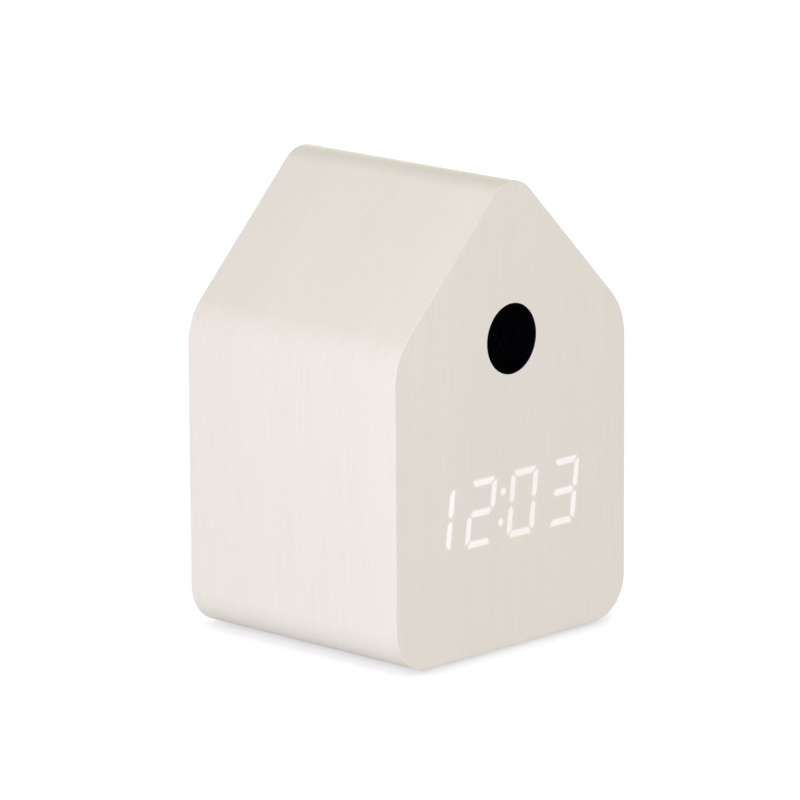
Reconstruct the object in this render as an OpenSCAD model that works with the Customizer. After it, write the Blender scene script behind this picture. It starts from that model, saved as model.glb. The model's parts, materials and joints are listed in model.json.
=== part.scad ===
// House-shaped table alarm clock: veneered case, light display, sound hole, battery works.
// The front faces -Y, the ridge runs along Y, the floor is z = 0. Sizes are in millimetres.

/* [Case] */
// width of the house over its veneer
body_w = 100; // [97:1:108]
// depth from the front face to the rear rim
body_d = 86; // [82:1:98]
// height from the floor to the ridge
body_h = 142; // [139:1:150]
// roof angle above the horizontal
roof_slope = 45.6; // [44.6:0.2:46.8]
// round of the two lower long edges
bottom_r = 13; // [11:0.5:15]
// round of the two eaves
eave_r = 30; // [27:0.5:32]
// round of the ridge
ridge_r = 11; // [9:0.5:13]
// case wall with its veneer
wall = 6; // [5.4:0.2:6.6]
// thickness of the wood veneer
veneer = 0.6; // [0.4:0.1:0.8]
// thickness of the front board behind its veneer
front_t = 4; // [3.5:0.25:5]
// height of the foot pads
pad_h = 0.5; // [0.4:0.1:1.2]
// radius of the foot pads
pad_r = 5; // [4:0.5:6]

/* [Display] */
// height of the digits
digit_h = 20.4; // [18.6:0.2:21]
// width of one digit
digit_w = 11.9; // [11:0.1:12.4]
// step from digit to digit
digit_pitch = 18.1; // [17.4:0.1:18.4]
// lean of the digits
slant = 7.2; // [6:0.1:10]
// width of the upright segments
upright_w = 2.1; // [1.8:0.1:2.3]
// height of the level segments
level_h = 2.1; // [1.8:0.1:2.6]
// gap between neighbouring segments
segment_gap = 0.4; // [0.25:0.05:0.5]
// length cut off the sharp tips of the mitred ends
tip_cut = 1; // [0.6:0.1:1.4]
// radius of the colon dots
colon_r = 1.2; // [1.1:0.05:1.4]
// height of the display's middle over the floor
display_z = 43.9; // [42:0.1:46]
// how far the middle of the time stands right of the middle of the house
digits_x = 0.4; // [-0.8:0.1:0.8]

/* [Sound] */
// radius of the hole in the front veneer
hole_r = 10.7; // [10:0.1:11.5]
// height of the hole's middle over the floor
hole_z = 94.4; // [92:0.2:97]
// radius of the loudspeaker
speaker_r = 15; // [14:0.5:16]
// radius of the sound grille's perforations
grille_hole_r = 0.9; // [0.7:0.05:1.1]

/* [Rear] */
// thickness of the rear cover
cover_t = 3; // [2.8:0.1:3.6]
// how far the rear cover sits inside the rear rim
cover_recess = 2; // [1.8:0.1:2.6]
// height of the button row over the floor
button_z = 72; // [71:0.5:73]
// step from button to button
button_pitch = 14; // [13:0.5:14.5]
// radius of a button cap
button_r = 3.5; // [3:0.1:4]
// travel of a button
button_travel = 0.5; // [0.3:0.05:0.5]

/* [Batteries] */
// radius of one cell
cell_r = 5.25; // [5:0.05:5.4]
// length of one cell with its tip
cell_len = 44.5; // [43:0.1:45]
// length of a contact spring pressed by its cell
spring_len = 5.5; // [5:0.1:6.5]
// thickness of the battery door
door_t = 2; // [1.8:0.1:2.3]

/* [Clearances] */
// glue line round the front board
glue_gap = 0.1; // [0.05:0.05:0.2]
// gap round the rear cover
cover_gap = 0.2; // [0.15:0.05:0.3]
// gap round a piece that is set into another
set_gap = 0.1; // [0.05:0.05:0.2]
// gap round the battery door
door_gap = 0.35; // [0.3:0.05:0.45]
// radial running clearance of pins and buttons
run_gap = 0.06; // [0.04:0.01:0.09]

/* [Hidden] */
$fn = 64;

// A hair of extra radius, so that a round crosses its straight neighbours instead of only touching them.
seam = 0.0005;
// Reach of a cutting shape past the face that it opens.
past = 1;

front_y = -body_d / 2;
veneer_y = front_y + veneer;
board_y = veneer_y + front_t;
rear_y = body_d / 2;
cover_out_y = rear_y - cover_recess;
cover_in_y = cover_out_y - cover_t;
mid_z = body_h / 2;
inner_x = body_w / 2 - wall;
floor_z = pad_h + wall;
ledge = 3;
rebate = wall - ledge;
pcb_t = 1.6;
pad_in_x = 20;
pad_in_y = 14;

// House outline: centres of its five rounds, seen from the front, with z counted from mid height.
roof_n = [sin(roof_slope), cos(roof_slope)];
ridge_c = [0, body_h - ridge_r - mid_z];
roof_d = roof_n[1] * ridge_c[1] + ridge_r;
eave_x = body_w / 2 - eave_r;
eave_c = [eave_x, (roof_d - eave_r - roof_n[0] * eave_x) / roof_n[1]];
base_c = [body_w / 2 - bottom_r, bottom_r + pad_h - mid_z];

// Display stack.
slant_k = tan(slant);
tip_gap = 0.4;
lit_half = (3 * digit_pitch + upright_w) / 2;
mask_margin = 3.2;
mask_w = 2 * (lit_half + slant_k * digit_h / 2 + mask_margin);
mask_h = digit_h + 2 * mask_margin;
mask_ear = 6;
mask_flange = 3;
mask_y = board_y + mask_flange;
display_y = mask_y + pcb_t;
chip_h = 0.8;
lamp_gap = 0.5;
lamp_l = 2;
lamp_w = 1.1;
segment_y = mask_y - chip_h - lamp_gap;
display_screw_x = mask_w / 2 + mask_ear / 2;
display_screw_z = mask_h / 2 - 3;
LIT = [[1, 2], [0, 1, 6, 4, 3], [0, 1, 2, 3, 4, 5], [0, 1, 6, 2, 3]];
DARK = [[], [2, 5], [6], [4, 5]];
LEVEL = [0, 3, 6];

// Sound stack, from the hole backwards.
liner_bore = hole_r - 0.5;
liner_tube = hole_r + 1.3;
liner_flange_t = 2;
grille_t = 0.8;
grille_r = liner_bore + 2.2;
grille_y = board_y + 1;
gasket_y = grille_y + grille_t;
gasket_t = 1.6;
cone_y = gasket_y + gasket_t;
cone_t = 0.3;
// Room between the cone's half-round surround and the grille.
roll_gap = 0.5;
roll_r = gasket_t - roll_gap;
rim_y = cone_y + cone_t;
rim_t = 0.8;
rim_w = 2.2;
surround_in = 3.4;
hub_r = 4;
lug_w = 7;
cup_wall = 1.6;
cup_bore = speaker_r + 0.2;
cup_y = rim_y + rim_t + 1.2;
basket_y = rim_y + rim_t + 4.2;
basket_r = speaker_r - 6.5;
basket_t = 0.8;
magnet_t = 3.6;
liner_screw_r = cup_bore + cup_wall + 2.5;
liner_flange = liner_screw_r + 2.4;

// Screws: shank and head radii, head height, pilot clearance.
screw_r = 0.9;
screw_head_r = 1.9;
screw_head_h = 1.3;
pilot_gap = 0.05;
bite = 3;
cover_screw_r = 1.2;
cover_head_r = 2.4;
cover_head_h = 1.4;
cover_screw_l = 11;
block_w = 9;
block_h = 12;
block_d = 18;
block_x = inner_x - block_w / 2;
low_block_z = floor_z + 13;
high_block_z = eave_c[1] + mid_z - 9;
ridge_block_z = body_h - wall - 15;

// Rear works: board behind the cover, buttons, switches and socket.
switch_h = 3.5;
flange_t = 1;
flange_r = button_r + 1.1;
plunger_r = 1.7;
plunger_out = 1.5;
board_gap = flange_t + plunger_out + switch_h;
main_y = cover_in_y - board_gap;
main_front_y = main_y - pcb_t;
main_w = 2 * (inner_x - block_w - 2.5);
main_h = 26;
main_z = button_z - 2;
post_x = main_w / 2 - 3.5;
post_z = main_h / 2 - 3.5;
post_r = 2.5;
mode_x = -1.5 * button_pitch;
up_x = mode_x + button_pitch;
down_x = up_x + button_pitch;
socket_in = 9.5;
socket_x = main_w / 2 - socket_in;
socket_w = 7.6;
socket_h = 2.8;
socket_l = board_gap - 0.4;
inlet_w = 11.4;
inlet_h = 7.4;

// Battery bay, its box and its door.
contact_t = 0.4;
cell_pitch = 2 * cell_r + 1.2;
bay_l = cell_len + spring_len + 2 * contact_t;
bay_h = 3 * cell_pitch + 1;
bay_z0 = floor_z + 6;
bay_z = bay_z0 + bay_h / 2;
bay_d = 2 * cell_r + 1.7;
box_wall = 1.6;
box_in_y = cover_in_y - bay_d;
box_out_y = box_in_y - box_wall;
cell_y = box_in_y + cell_r + 0.3;
tip_l = 0.9;
tip_r = 1.9;
tab_w = 3;
tab_out = 2.5;
boss_x = bay_l / 2 + box_wall + 4.2;
boss_l = 4;
ear_t = 2;
knuckle_r = 1.2;
hinge_y = cover_out_y - knuckle_r;
hinge_z = bay_z0 + door_gap + knuckle_r;
hinge_pin_r = 0.75;
hinge_pin_l = 1.6;
door_w = bay_l - 2 * door_gap;
door_top = bay_z0 + bay_h - door_gap;
tongue_w = 12;
tongue_up = 2.2;
tongue_slit = 0.8;
tongue_l = 9;

// Leads and ribbon.
lead_r = 0.65;
// How far a lead runs straight on from the cells' tabs, the board and the loudspeaker.
tab_reach = 9;
board_reach = 18;
speaker_reach = 22;
speaker_lead_in = 9;
ribbon_w = 10.2;
ribbon_t = 0.9;
ribbon_x = -main_w / 2 + 9;
ribbon_bend = 5;
header_w = 14;
header_h = 5.6;
header_l = 6;
header_slot = 3;
head_gap = 0.6;
main_header_z = main_z - post_z + screw_head_r + head_gap + header_h / 2;
// Springs: wire radius, turns, coil radii at the plate and at the cell.
wire_r = 0.25;
coils = 4;
coil_r0 = 3.9;
coil_r1 = 2.6;

// Flat helpers. Outlines are drawn in X and Z and run along Y.
module along_y(y0, y1) {
    translate([0, y1, 0])
        rotate([90, 0, 0])
            linear_extrude(y1 - y0)
                children();
}

module rod_y(x, z, r, y0, y1) {
    translate([x, y1, z])
        rotate([90, 0, 0])
            cylinder(r = r, h = y1 - y0);
}

module rod_x(y, z, r, x0, x1) {
    translate([x0, y, z])
        rotate([0, 90, 0])
            cylinder(r = r, h = x1 - x0);
}

module block(x0, x1, y0, y1, z0, z1) {
    translate([x0, y0, z0])
        cube([x1 - x0, y1 - y0, z1 - z0]);
}

// Turns a profile of (radius, y) about the sound hole's axis.
module turned(z) {
    translate([0, 0, z])
        rotate([-90, 0, 0])
            rotate_extrude()
                children();
}

function round_points(c, r, n0, n1) = [c + r * n0, c + r * n1];
function flip_x(p) = [-p[0], p[1]];

// The house outline, moved inwards by an inset, with true rounds.
module house2d(inset) {
    rb = bottom_r - inset;
    re = eave_r - inset;
    rr = ridge_r - inset;
    right = concat(
        round_points(base_c, rb, [0, -1], [1, 0]),
        round_points(eave_c, re, [1, 0], roof_n),
        round_points(ridge_c, rr, roof_n, roof_n));
    half = [for (i = [0 : 4]) right[i]];
    polygon(concat(half, [for (i = [4 : -1 : 0]) flip_x(half[i])]));
    for (s = [-1, 1]) {
        translate([s * base_c[0], base_c[1]])
            circle(r = rb + seam);
        translate([s * eave_c[0], eave_c[1]])
            circle(r = re + seam);
    }
    translate(ridge_c)
        circle(r = rr + seam);
}

module house_prism(y0, y1, inset) {
    translate([0, 0, mid_z])
        along_y(y0, y1)
            house2d(inset);
}

// A rectangle with true rounds at its corners, centred.
module soft_rect(w, h, r) {
    a = w / 2 - r;
    b = h / 2 - r;
    polygon([[-a, -b - r], [a, -b - r], [a + r, -b], [a + r, b], [a, b + r], [-a, b + r],
        [-a - r, b], [-a - r, -b]]);
    for (i = [-1, 1], j = [-1, 1])
        translate([i * a, j * b])
            circle(r = r + seam);
}

// Seven segments in order a to g. Where uprights and level segments meet at a corner, both end in a mitre
// with its tip cut off. Uprights end in a point at mid height.
function seg_level() = let (end = segment_gap + tip_cut, up = digit_h / 2,
        low = up - level_h * tip_cut / upright_w)
    [[end, up], [digit_w - end, up], [digit_w - end, low],
    [digit_w - upright_w - segment_gap, up - level_h], [upright_w + segment_gap, up - level_h], [end, low]];
function seg_upright() = let (up = digit_h / 2 - segment_gap, end = up - tip_cut)
    [[digit_w, end], [digit_w, tip_gap + upright_w / 2], [digit_w - upright_w / 2, tip_gap],
    [digit_w - upright_w, tip_gap + upright_w / 2], [digit_w - upright_w, up - level_h],
    [digit_w - upright_w * tip_cut / level_h, end]];
function seg_middle() = [[upright_w / 2 + tip_gap, 0], [upright_w / 2 + tip_gap + level_h / 2, level_h / 2],
    [digit_w - upright_w / 2 - tip_gap - level_h / 2, level_h / 2], [digit_w - upright_w / 2 - tip_gap, 0],
    [digit_w - upright_w / 2 - tip_gap - level_h / 2, -level_h / 2],
    [upright_w / 2 + tip_gap + level_h / 2, -level_h / 2]];
function over(p) = [for (q = p) [digit_w - q[0], q[1]]];
function under(p) = [for (q = p) [q[0], -q[1]]];
function segment(k) = k == 0 ? seg_level() : k == 1 ? seg_upright() : k == 2 ? under(seg_upright())
    : k == 3 ? under(seg_level()) : k == 4 ? under(over(seg_upright()))
    : k == 5 ? over(seg_upright()) : seg_middle();
function lean(p) = [p[0] + slant_k * p[1], p[1]];
function mean(p) = [for (k = [0, 1]) (min([for (q = p) q[k]]) + max([for (q = p) q[k]])) / 2];
// Left edge of a digit at mid height, counted from 0 at the left.
function digit_x(i) = digits_x + lit_half - (3 - i) * digit_pitch - digit_w;
colon_x = (digit_x(1) + digit_w + digit_x(2)) / 2;
colon_up = 4.6;

module segments2d(which) {
    for (i = [0 : 3], k = which[i])
        translate([digit_x(i), display_z])
            polygon([for (p = segment(k)) lean(p)]);
}

module colon2d() {
    for (s = [-1, 1])
        translate([colon_x + slant_k * s * colon_up, display_z + s * colon_up])
            circle(r = colon_r);
}

module all_segments2d() {
    segments2d(LIT);
    segments2d(DARK);
    colon2d();
}

// Tubes: rings round a path, closed by flat ends.
function unit(v) = v / norm(v);
function tangent(p, i) = unit(p[min(i + 1, len(p) - 1)] - p[max(i - 1, 0)]);
function ring(c, t, r, ref, sides) = let (a = unit(cross(t, ref)), b = cross(t, a))
    [for (k = [0 : sides - 1]) c + r * (cos(360 * k / sides) * a + sin(360 * k / sides) * b)];

module tube(path, r, ref, sides) {
    n = len(path);
    pts = [for (i = [0 : n - 1]) each ring(path[i], tangent(path, i), r, ref, sides)];
    walls = [for (i = [0 : n - 2], k = [0 : sides - 1])
        let (a = i * sides + k, b = i * sides + (k + 1) % sides)
        each [[a, b, b + sides], [a, b + sides, a + sides]]];
    ends = [[for (k = [sides - 1 : -1 : 0]) k], [for (k = [0 : sides - 1]) (n - 1) * sides + k]];
    polyhedron(points = pts, faces = concat(walls, ends), convexity = 6);
}

function bezier(a, b, c, d, u) = pow(1 - u, 3) * a + 3 * pow(1 - u, 2) * u * b
    + 3 * (1 - u) * u * u * c + pow(u, 3) * d;
// A lead that leaves and meets its ends square to them, along Y.
function lead_path(a, b, reach_a, reach_b) = let (va = [0, reach_a, 0], vb = [0, reach_b, 0])
    concat([a], [for (i = [0 : 12]) bezier(a + va * 0.12, a + va, b + vb, b + vb * 0.12, i / 12)], [b]);

// One conical battery spring along X: a straight end, the coils, a straight end.
function coil_path(x0, side, y, z) = let (w = 2 * wire_r, l = spring_len - 2 * w, n = coils * 8)
    concat([[x0, y + coil_r0, z]],
        [for (i = [0 : n]) let (u = i / n, r = coil_r0 + (coil_r1 - coil_r0) * u)
            [x0 + side * (w + l * u), y + r * cos(45 * i), z + r * sin(45 * i)]],
        [[x0 + side * spring_len, y + coil_r1, z]]);
function self_gap(p) = min([for (i = [0 : len(p) - 1], j = [i + 5 : 1 : len(p) - 1])
    norm(p[i] - p[j])]) - 2 * wire_r;
echo(least_spring_gap = self_gap(coil_path(0, 1, 0, 0)));

// Case.
module case_core() {
    color([0.72, 0.58, 0.42])
        difference() {
            house_prism(veneer_y, rear_y - veneer, veneer);
            house_prism(veneer_y - past, rear_y + past, wall);
            house_prism(cover_in_y, rear_y + past, rebate);
        }
}

module veneer_wrap() {
    color([0.9, 0.87, 0.82])
        difference() {
            house_prism(veneer_y, rear_y, 0);
            house_prism(veneer_y - past, rear_y - veneer, veneer);
            house_prism(veneer_y, rear_y + past, rebate);
        }
}

module front_board() {
    color([0.7, 0.56, 0.4])
        difference() {
            house_prism(veneer_y, board_y, wall + glue_gap);
            along_y(veneer_y - past, board_y + past)
                translate([0, display_z])
                    soft_rect(mask_w + 2 * set_gap, mask_h + 2 * set_gap, 2);
            rod_y(0, hole_z, liner_tube + set_gap, veneer_y - past, board_y + past);
            for (i = [-1, 1], j = [-1, 1])
                rod_y(i * display_screw_x, display_z + j * display_screw_z, screw_r + pilot_gap,
                    board_y - bite, board_y + past);
            for (a = [90, 210, 330])
                rod_y(liner_screw_r * cos(a), hole_z + liner_screw_r * sin(a), screw_r + pilot_gap,
                    board_y - bite, board_y + past);
        }
}

module front_veneer() {
    color([0.87, 0.84, 0.8])
        difference() {
            house_prism(front_y, veneer_y, 0);
            along_y(front_y - past, veneer_y + past)
                all_segments2d();
            rod_y(0, hole_z, hole_r, front_y - past, veneer_y + past);
        }
}

module screw_block(x, z, w, h) {
    difference() {
        intersection() {
            block(x - w / 2, x + w / 2, cover_in_y - block_d, cover_in_y, z - h / 2, z + h / 2);
            house_prism(cover_in_y - block_d - past, cover_in_y + past, wall + glue_gap);
        }
        children();
    }
}

module cover_screw_holes(r, y0, y1) {
    for (s = [-1, 1], z = [low_block_z, high_block_z])
        rod_y(s * block_x, z, r, y0, y1);
    rod_y(0, ridge_block_z, r, y0, y1);
}

module screw_blocks() {
    color([0.82, 0.68, 0.48]) {
        for (s = [-1, 1], z = [low_block_z, high_block_z])
            screw_block(s * block_x, z, block_w, block_h)
                rod_y(s * block_x, z, cover_screw_r + pilot_gap,
                    cover_out_y - cover_screw_l - 0.5, cover_in_y + past);
        screw_block(0, ridge_block_z + 6, 20, 24)
            rod_y(0, ridge_block_z, cover_screw_r + pilot_gap,
                cover_out_y - cover_screw_l - 0.5, cover_in_y + past);
    }
}

module foot_pads() {
    color([0.16, 0.16, 0.17])
        for (i = [-1, 1], j = [-1, 1])
            translate([i * (body_w / 2 - pad_in_x), j * (body_d / 2 - pad_in_y), 0])
                cylinder(r = pad_r, h = pad_h);
}

// Sound.
module sound_liner() {
    color([0.03, 0.03, 0.035])
        difference() {
            turned(hole_z)
                polygon([[liner_bore, veneer_y], [liner_tube, veneer_y], [liner_tube, board_y],
                    [liner_flange, board_y], [liner_flange, board_y + liner_flange_t],
                    [cup_bore + cup_wall, board_y + liner_flange_t], [cup_bore + cup_wall, cup_y],
                    [cup_bore, cup_y], [cup_bore, gasket_y], [grille_r + set_gap, gasket_y],
                    [grille_r + set_gap, grille_y], [liner_bore, grille_y]]);
            for (a = [90, 210, 330])
                rod_y(liner_screw_r * cos(a), hole_z + liner_screw_r * sin(a), screw_r + 0.2,
                    board_y - past, board_y + liner_flange_t + past);
        }
}

module wood_screw(x, z, y_face, length) {
    rod_y(x, z, screw_head_r, y_face, y_face + screw_head_h);
    rod_y(x, z, screw_r, y_face - length, y_face + screw_head_h / 2);
}

module liner_screws() {
    color([0.75, 0.75, 0.77])
        for (a = [90, 210, 330])
            wood_screw(liner_screw_r * cos(a), hole_z + liner_screw_r * sin(a),
                board_y + liner_flange_t, liner_flange_t + bite - 0.3);
}

module sound_grille() {
    pitch = liner_bore / 3.4;
    color([0.05, 0.05, 0.055])
        difference() {
            rod_y(0, hole_z, grille_r, grille_y, gasket_y);
            for (i = [-3 : 3], j = [-3 : 3])
                if (abs(i + j) <= 3)
                    rod_y(pitch * (i + j / 2), hole_z + pitch * j * sin(60), grille_hole_r,
                        grille_y - past, gasket_y + past);
        }
}

module speaker_gasket() {
    color([0.1, 0.1, 0.1])
        difference() {
            rod_y(0, hole_z, speaker_r, gasket_y, cone_y);
            rod_y(0, hole_z, speaker_r - rim_w, gasket_y - past, cone_y + past);
        }
}

module speaker_frame() {
    color([0.55, 0.55, 0.57])
        difference() {
            union() {
                turned(hole_z)
                    polygon([[speaker_r - rim_w, rim_y], [speaker_r, rim_y], [speaker_r, rim_y + rim_t],
                        [speaker_r - rim_w + basket_t, rim_y + rim_t],
                        [basket_r + basket_t / 2, basket_y + basket_t],
                        [hub_r, basket_y + basket_t], [hub_r, basket_y], [basket_r - 0.3, basket_y],
                        [speaker_r - rim_w, rim_y + rim_t]]);
                block(-lug_w / 2, lug_w / 2, basket_y, basket_y + basket_t,
                    hole_z - basket_r - lug_w / 2, hole_z - hub_r - 1);
            }
            for (a = [45, 135, 225, 315])
                translate([0, 0, hole_z])
                    rotate([0, a, 0])
                        block(basket_r + 0.8, speaker_r - 2.5, rim_y + rim_t + 0.5, basket_y - 0.5, -4, 4);
        }
}

// Edge flange, half-round surround, cone, dome and coil former, pressed from one sheet.
function dome(n) = [for (i = [0 : n]) [4.4 * cos(90 * i / n), cone_y + 2.6 - 1.5 * sin(90 * i / n)]];
function dome_in(n) = [for (i = [n : -1 : 0]) [4.1 * cos(90 * i / n), cone_y + 2.9 - 1.5 * sin(90 * i / n)]];
function roll(n, r) = [for (i = [0 : n])
    [speaker_r - surround_in + r * cos(180 * i / n), cone_y - r * sin(180 * i / n)]];

module speaker_cone() {
    r0 = speaker_r - surround_in;
    roll_in = roll_r - cone_t;
    color([0.2, 0.2, 0.22])
        turned(hole_z)
            polygon(concat([[speaker_r - 0.2, cone_y]], roll(8, roll_r),
                dome(6), [[0, cone_y + 1.4]], dome_in(6),
                [[4.1, cone_y + 4.4], [4.4, cone_y + 4.4], [4.4, cone_y + 2.95],
                [r0 - roll_r, cone_y + cone_t], [r0 - roll_in, cone_y + cone_t]],
                [for (i = [7 : -1 : 1])
                    [r0 + roll_in * cos(180 * i / 8), cone_y - roll_in * sin(180 * i / 8)]],
                [[r0 + roll_in, cone_y + cone_t], [speaker_r - 0.2, cone_y + cone_t]]));
}

module speaker_magnet() {
    color([0.22, 0.22, 0.24]) {
        rod_y(0, hole_z, basket_r - 0.5, basket_y + basket_t, basket_y + basket_t + magnet_t);
        rod_y(0, hole_z, 3.3, basket_y - 0.8, basket_y + basket_t + 0.1);
    }
}

module speaker_leads() {
    color([0.65, 0.12, 0.1])
        for (s = [-1, 1])
            tube(lead_path([2 * s, basket_y + basket_t, hole_z - basket_r - 2],
                [main_w / 2 - speaker_lead_in + 1.6 * s, main_front_y, main_z - 3],
                speaker_reach, -board_reach - 8), lead_r, [1, 0, 0], 6);
}

// Display.
module digit_mask() {
    color([0.06, 0.06, 0.065])
        difference() {
            union() {
                along_y(veneer_y, board_y + past)
                    translate([0, display_z])
                        soft_rect(mask_w, mask_h, 2);
                block(-mask_w / 2 - mask_ear, mask_w / 2 + mask_ear, board_y, mask_y,
                    display_z - mask_h / 2 - 3, display_z + mask_h / 2 + 3);
            }
            along_y(veneer_y - past, mask_y + past)
                all_segments2d();
            for (i = [-1, 1], j = [-1, 1])
                rod_y(i * display_screw_x, display_z + j * display_screw_z, screw_r + 0.2,
                    board_y - past, mask_y + past);
        }
}

module lit_segments() {
    color([1, 0.99, 0.96])
        along_y(front_y, segment_y) {
            segments2d(LIT);
            colon2d();
        }
}

module dark_segments() {
    color([0.87, 0.84, 0.8])
        along_y(front_y, segment_y)
            segments2d(DARK);
}

module display_board() {
    color([0.1, 0.32, 0.16])
        difference() {
            block(-mask_w / 2 - mask_ear, mask_w / 2 + mask_ear, mask_y, display_y,
                display_z - mask_h / 2 - 3, display_z + mask_h / 2 + 3);
            for (i = [-1, 1], j = [-1, 1])
                rod_y(i * display_screw_x, display_z + j * display_screw_z, screw_r + 0.2,
                    mask_y - past, display_y + past);
        }
}

module led_chip(x, z, w, h) {
    block(x - w / 2, x + w / 2, mask_y - chip_h, mask_y, z - h / 2, z + h / 2);
}

module led_chips() {
    color([0.95, 0.9, 0.55]) {
        for (i = [0 : 3], k = concat(LIT[i], DARK[i]))
            let (c = mean([for (p = segment(k)) lean(p)]), level = len(search(k, LEVEL)) > 0)
                led_chip(digit_x(i) + c[0], display_z + c[1], level ? lamp_l : lamp_w,
                    level ? lamp_w : lamp_l);
        for (s = [-1, 1])
            led_chip(colon_x + slant_k * s * colon_up, display_z + s * colon_up, lamp_w, lamp_w);
    }
}

module display_screws() {
    color([0.75, 0.75, 0.77])
        for (i = [-1, 1], j = [-1, 1])
            wood_screw(i * display_screw_x, display_z + j * display_screw_z, display_y,
                pcb_t + mask_flange + bite - 0.3);
}

// A cable header standing on a board, its slot open towards the cable.
module header(y0, side, z) {
    ya = side > 0 ? y0 : y0 - header_l;
    ys = side > 0 ? y0 + header_l - header_slot : y0 - header_l - past;
    difference() {
        block(ribbon_x - header_w / 2, ribbon_x + header_w / 2, ya, ya + header_l,
            z - header_h / 2, z + header_h / 2);
        block(ribbon_x - ribbon_w / 2 - set_gap, ribbon_x + ribbon_w / 2 + set_gap,
            ys, ys + header_slot + past, z - ribbon_t / 2 - set_gap, z + ribbon_t / 2 + set_gap);
    }
}

module display_header() {
    color([0.9, 0.88, 0.8])
        header(display_y, 1, display_z);
}

module main_header() {
    color([0.9, 0.88, 0.8])
        header(main_front_y, -1, main_header_z);
}

// Side view of the ribbon: level, a bend up, a bend back to level.
// Points run down one face and back the other.
function arc_points(c, r, a0, a1, n) = [for (i = [0 : n]) c + r * [cos(a0 + (a1 - a0) * i / n),
    sin(a0 + (a1 - a0) * i / n)]];

module display_ribbon() {
    h = ribbon_t / 2;
    ya = display_y + header_l - header_slot;
    yb = main_front_y - header_l + header_slot;
    ym = (display_y + main_front_y) / 2;
    ca = [ym - ribbon_bend, display_z + ribbon_bend];
    cb = [ym + ribbon_bend, main_header_z - ribbon_bend];
    color([0.62, 0.62, 0.64])
        translate([ribbon_x - ribbon_w / 2, 0, 0])
            rotate([90, 0, 90])
                linear_extrude(ribbon_w)
                    polygon(concat([[ya, display_z - h]],
                        arc_points(ca, ribbon_bend + h, -90, 0, 6),
                        arc_points(cb, ribbon_bend - h, 180, 90, 6),
                        [[yb, main_header_z - h], [yb, main_header_z + h]],
                        arc_points(cb, ribbon_bend + h, 90, 180, 6),
                        arc_points(ca, ribbon_bend - h, 0, -90, 6),
                        [[ya, display_z + h]]));
}

// Rear cover, its screws and the main board.
module rear_cover() {
    color([0.9, 0.88, 0.84])
        difference() {
            union() {
                house_prism(cover_in_y, cover_out_y, rebate + cover_gap);
                for (i = [-1, 1], j = [-1, 1])
                    rod_y(i * post_x, main_z + j * post_z, post_r, main_y, cover_in_y + past);
                for (s = [-1, 1])
                    rod_y(s * boss_x, bay_z, 3, cover_in_y - boss_l, cover_in_y + past);
            }
            block(-bay_l / 2, bay_l / 2, cover_in_y - past, cover_out_y + past, bay_z0, bay_z0 + bay_h);
            block(-tongue_w / 2 - 0.5, tongue_w / 2 + 0.5, cover_in_y - past, cover_out_y + past,
                bay_z0 + bay_h - past, bay_z0 + bay_h + tongue_up + 0.5);
            rod_x(hinge_y, hinge_z, hinge_pin_r + run_gap,
                -bay_l / 2 - hinge_pin_l - 0.3, bay_l / 2 + hinge_pin_l + 0.3);
            for (x = [mode_x, up_x, down_x])
                rod_y(x, button_z, button_r + run_gap, cover_in_y - past, cover_out_y + past);
            along_y(cover_in_y - past, cover_out_y + past)
                translate([socket_x, button_z])
                    soft_rect(inlet_w, inlet_h, 1.2);
            cover_screw_holes(cover_screw_r + 0.2, cover_in_y - past, cover_out_y + past);
            for (i = [-1, 1], j = [-1, 1])
                rod_y(i * post_x, main_z + j * post_z, screw_r + pilot_gap, main_y - past, cover_in_y - 1);
            for (s = [-1, 1])
                rod_y(s * boss_x, bay_z, screw_r + pilot_gap, cover_in_y - boss_l - past, cover_in_y + 1);
        }
}

// Pan heads with a cross recess.
module cover_screw(x, z) {
    difference() {
        union() {
            rod_y(x, z, cover_head_r, cover_out_y, cover_out_y + cover_head_h);
            rod_y(x, z, cover_screw_r, cover_out_y - cover_screw_l, cover_out_y + cover_head_h / 2);
        }
        block(x - 1.4, x + 1.4, cover_out_y + 0.5, cover_out_y + cover_head_h + past, z - 0.3, z + 0.3);
        block(x - 0.3, x + 0.3, cover_out_y + 0.5, cover_out_y + cover_head_h + past, z - 1.4, z + 1.4);
    }
}

module cover_screws() {
    color([0.78, 0.78, 0.8]) {
        for (s = [-1, 1], z = [low_block_z, high_block_z])
            cover_screw(s * block_x, z);
        cover_screw(0, ridge_block_z);
    }
}

module main_board() {
    color([0.1, 0.32, 0.16])
        difference() {
            block(-main_w / 2, main_w / 2, main_front_y, main_y, main_z - main_h / 2, main_z + main_h / 2);
            for (i = [-1, 1], j = [-1, 1])
                rod_y(i * post_x, main_z + j * post_z, screw_r + 0.2, main_front_y - past, main_y + past);
        }
}

// A screw driven from inside, towards the rear.
module inner_screw(x, z, y_face, length) {
    rod_y(x, z, screw_head_r, y_face - screw_head_h, y_face);
    rod_y(x, z, screw_r, y_face - screw_head_h / 2, y_face + length);
}

module board_screws() {
    color([0.75, 0.75, 0.77])
        for (i = [-1, 1], j = [-1, 1])
            inner_screw(i * post_x, main_z + j * post_z, main_front_y, pcb_t + board_gap - 1.5);
}

// Parts on the main board's inner side, given by middle, size and height.
module on_board(x, z, w, h, t) {
    block(x - w / 2, x + w / 2, main_front_y - t, main_front_y, z - h / 2, z + h / 2);
}

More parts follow.
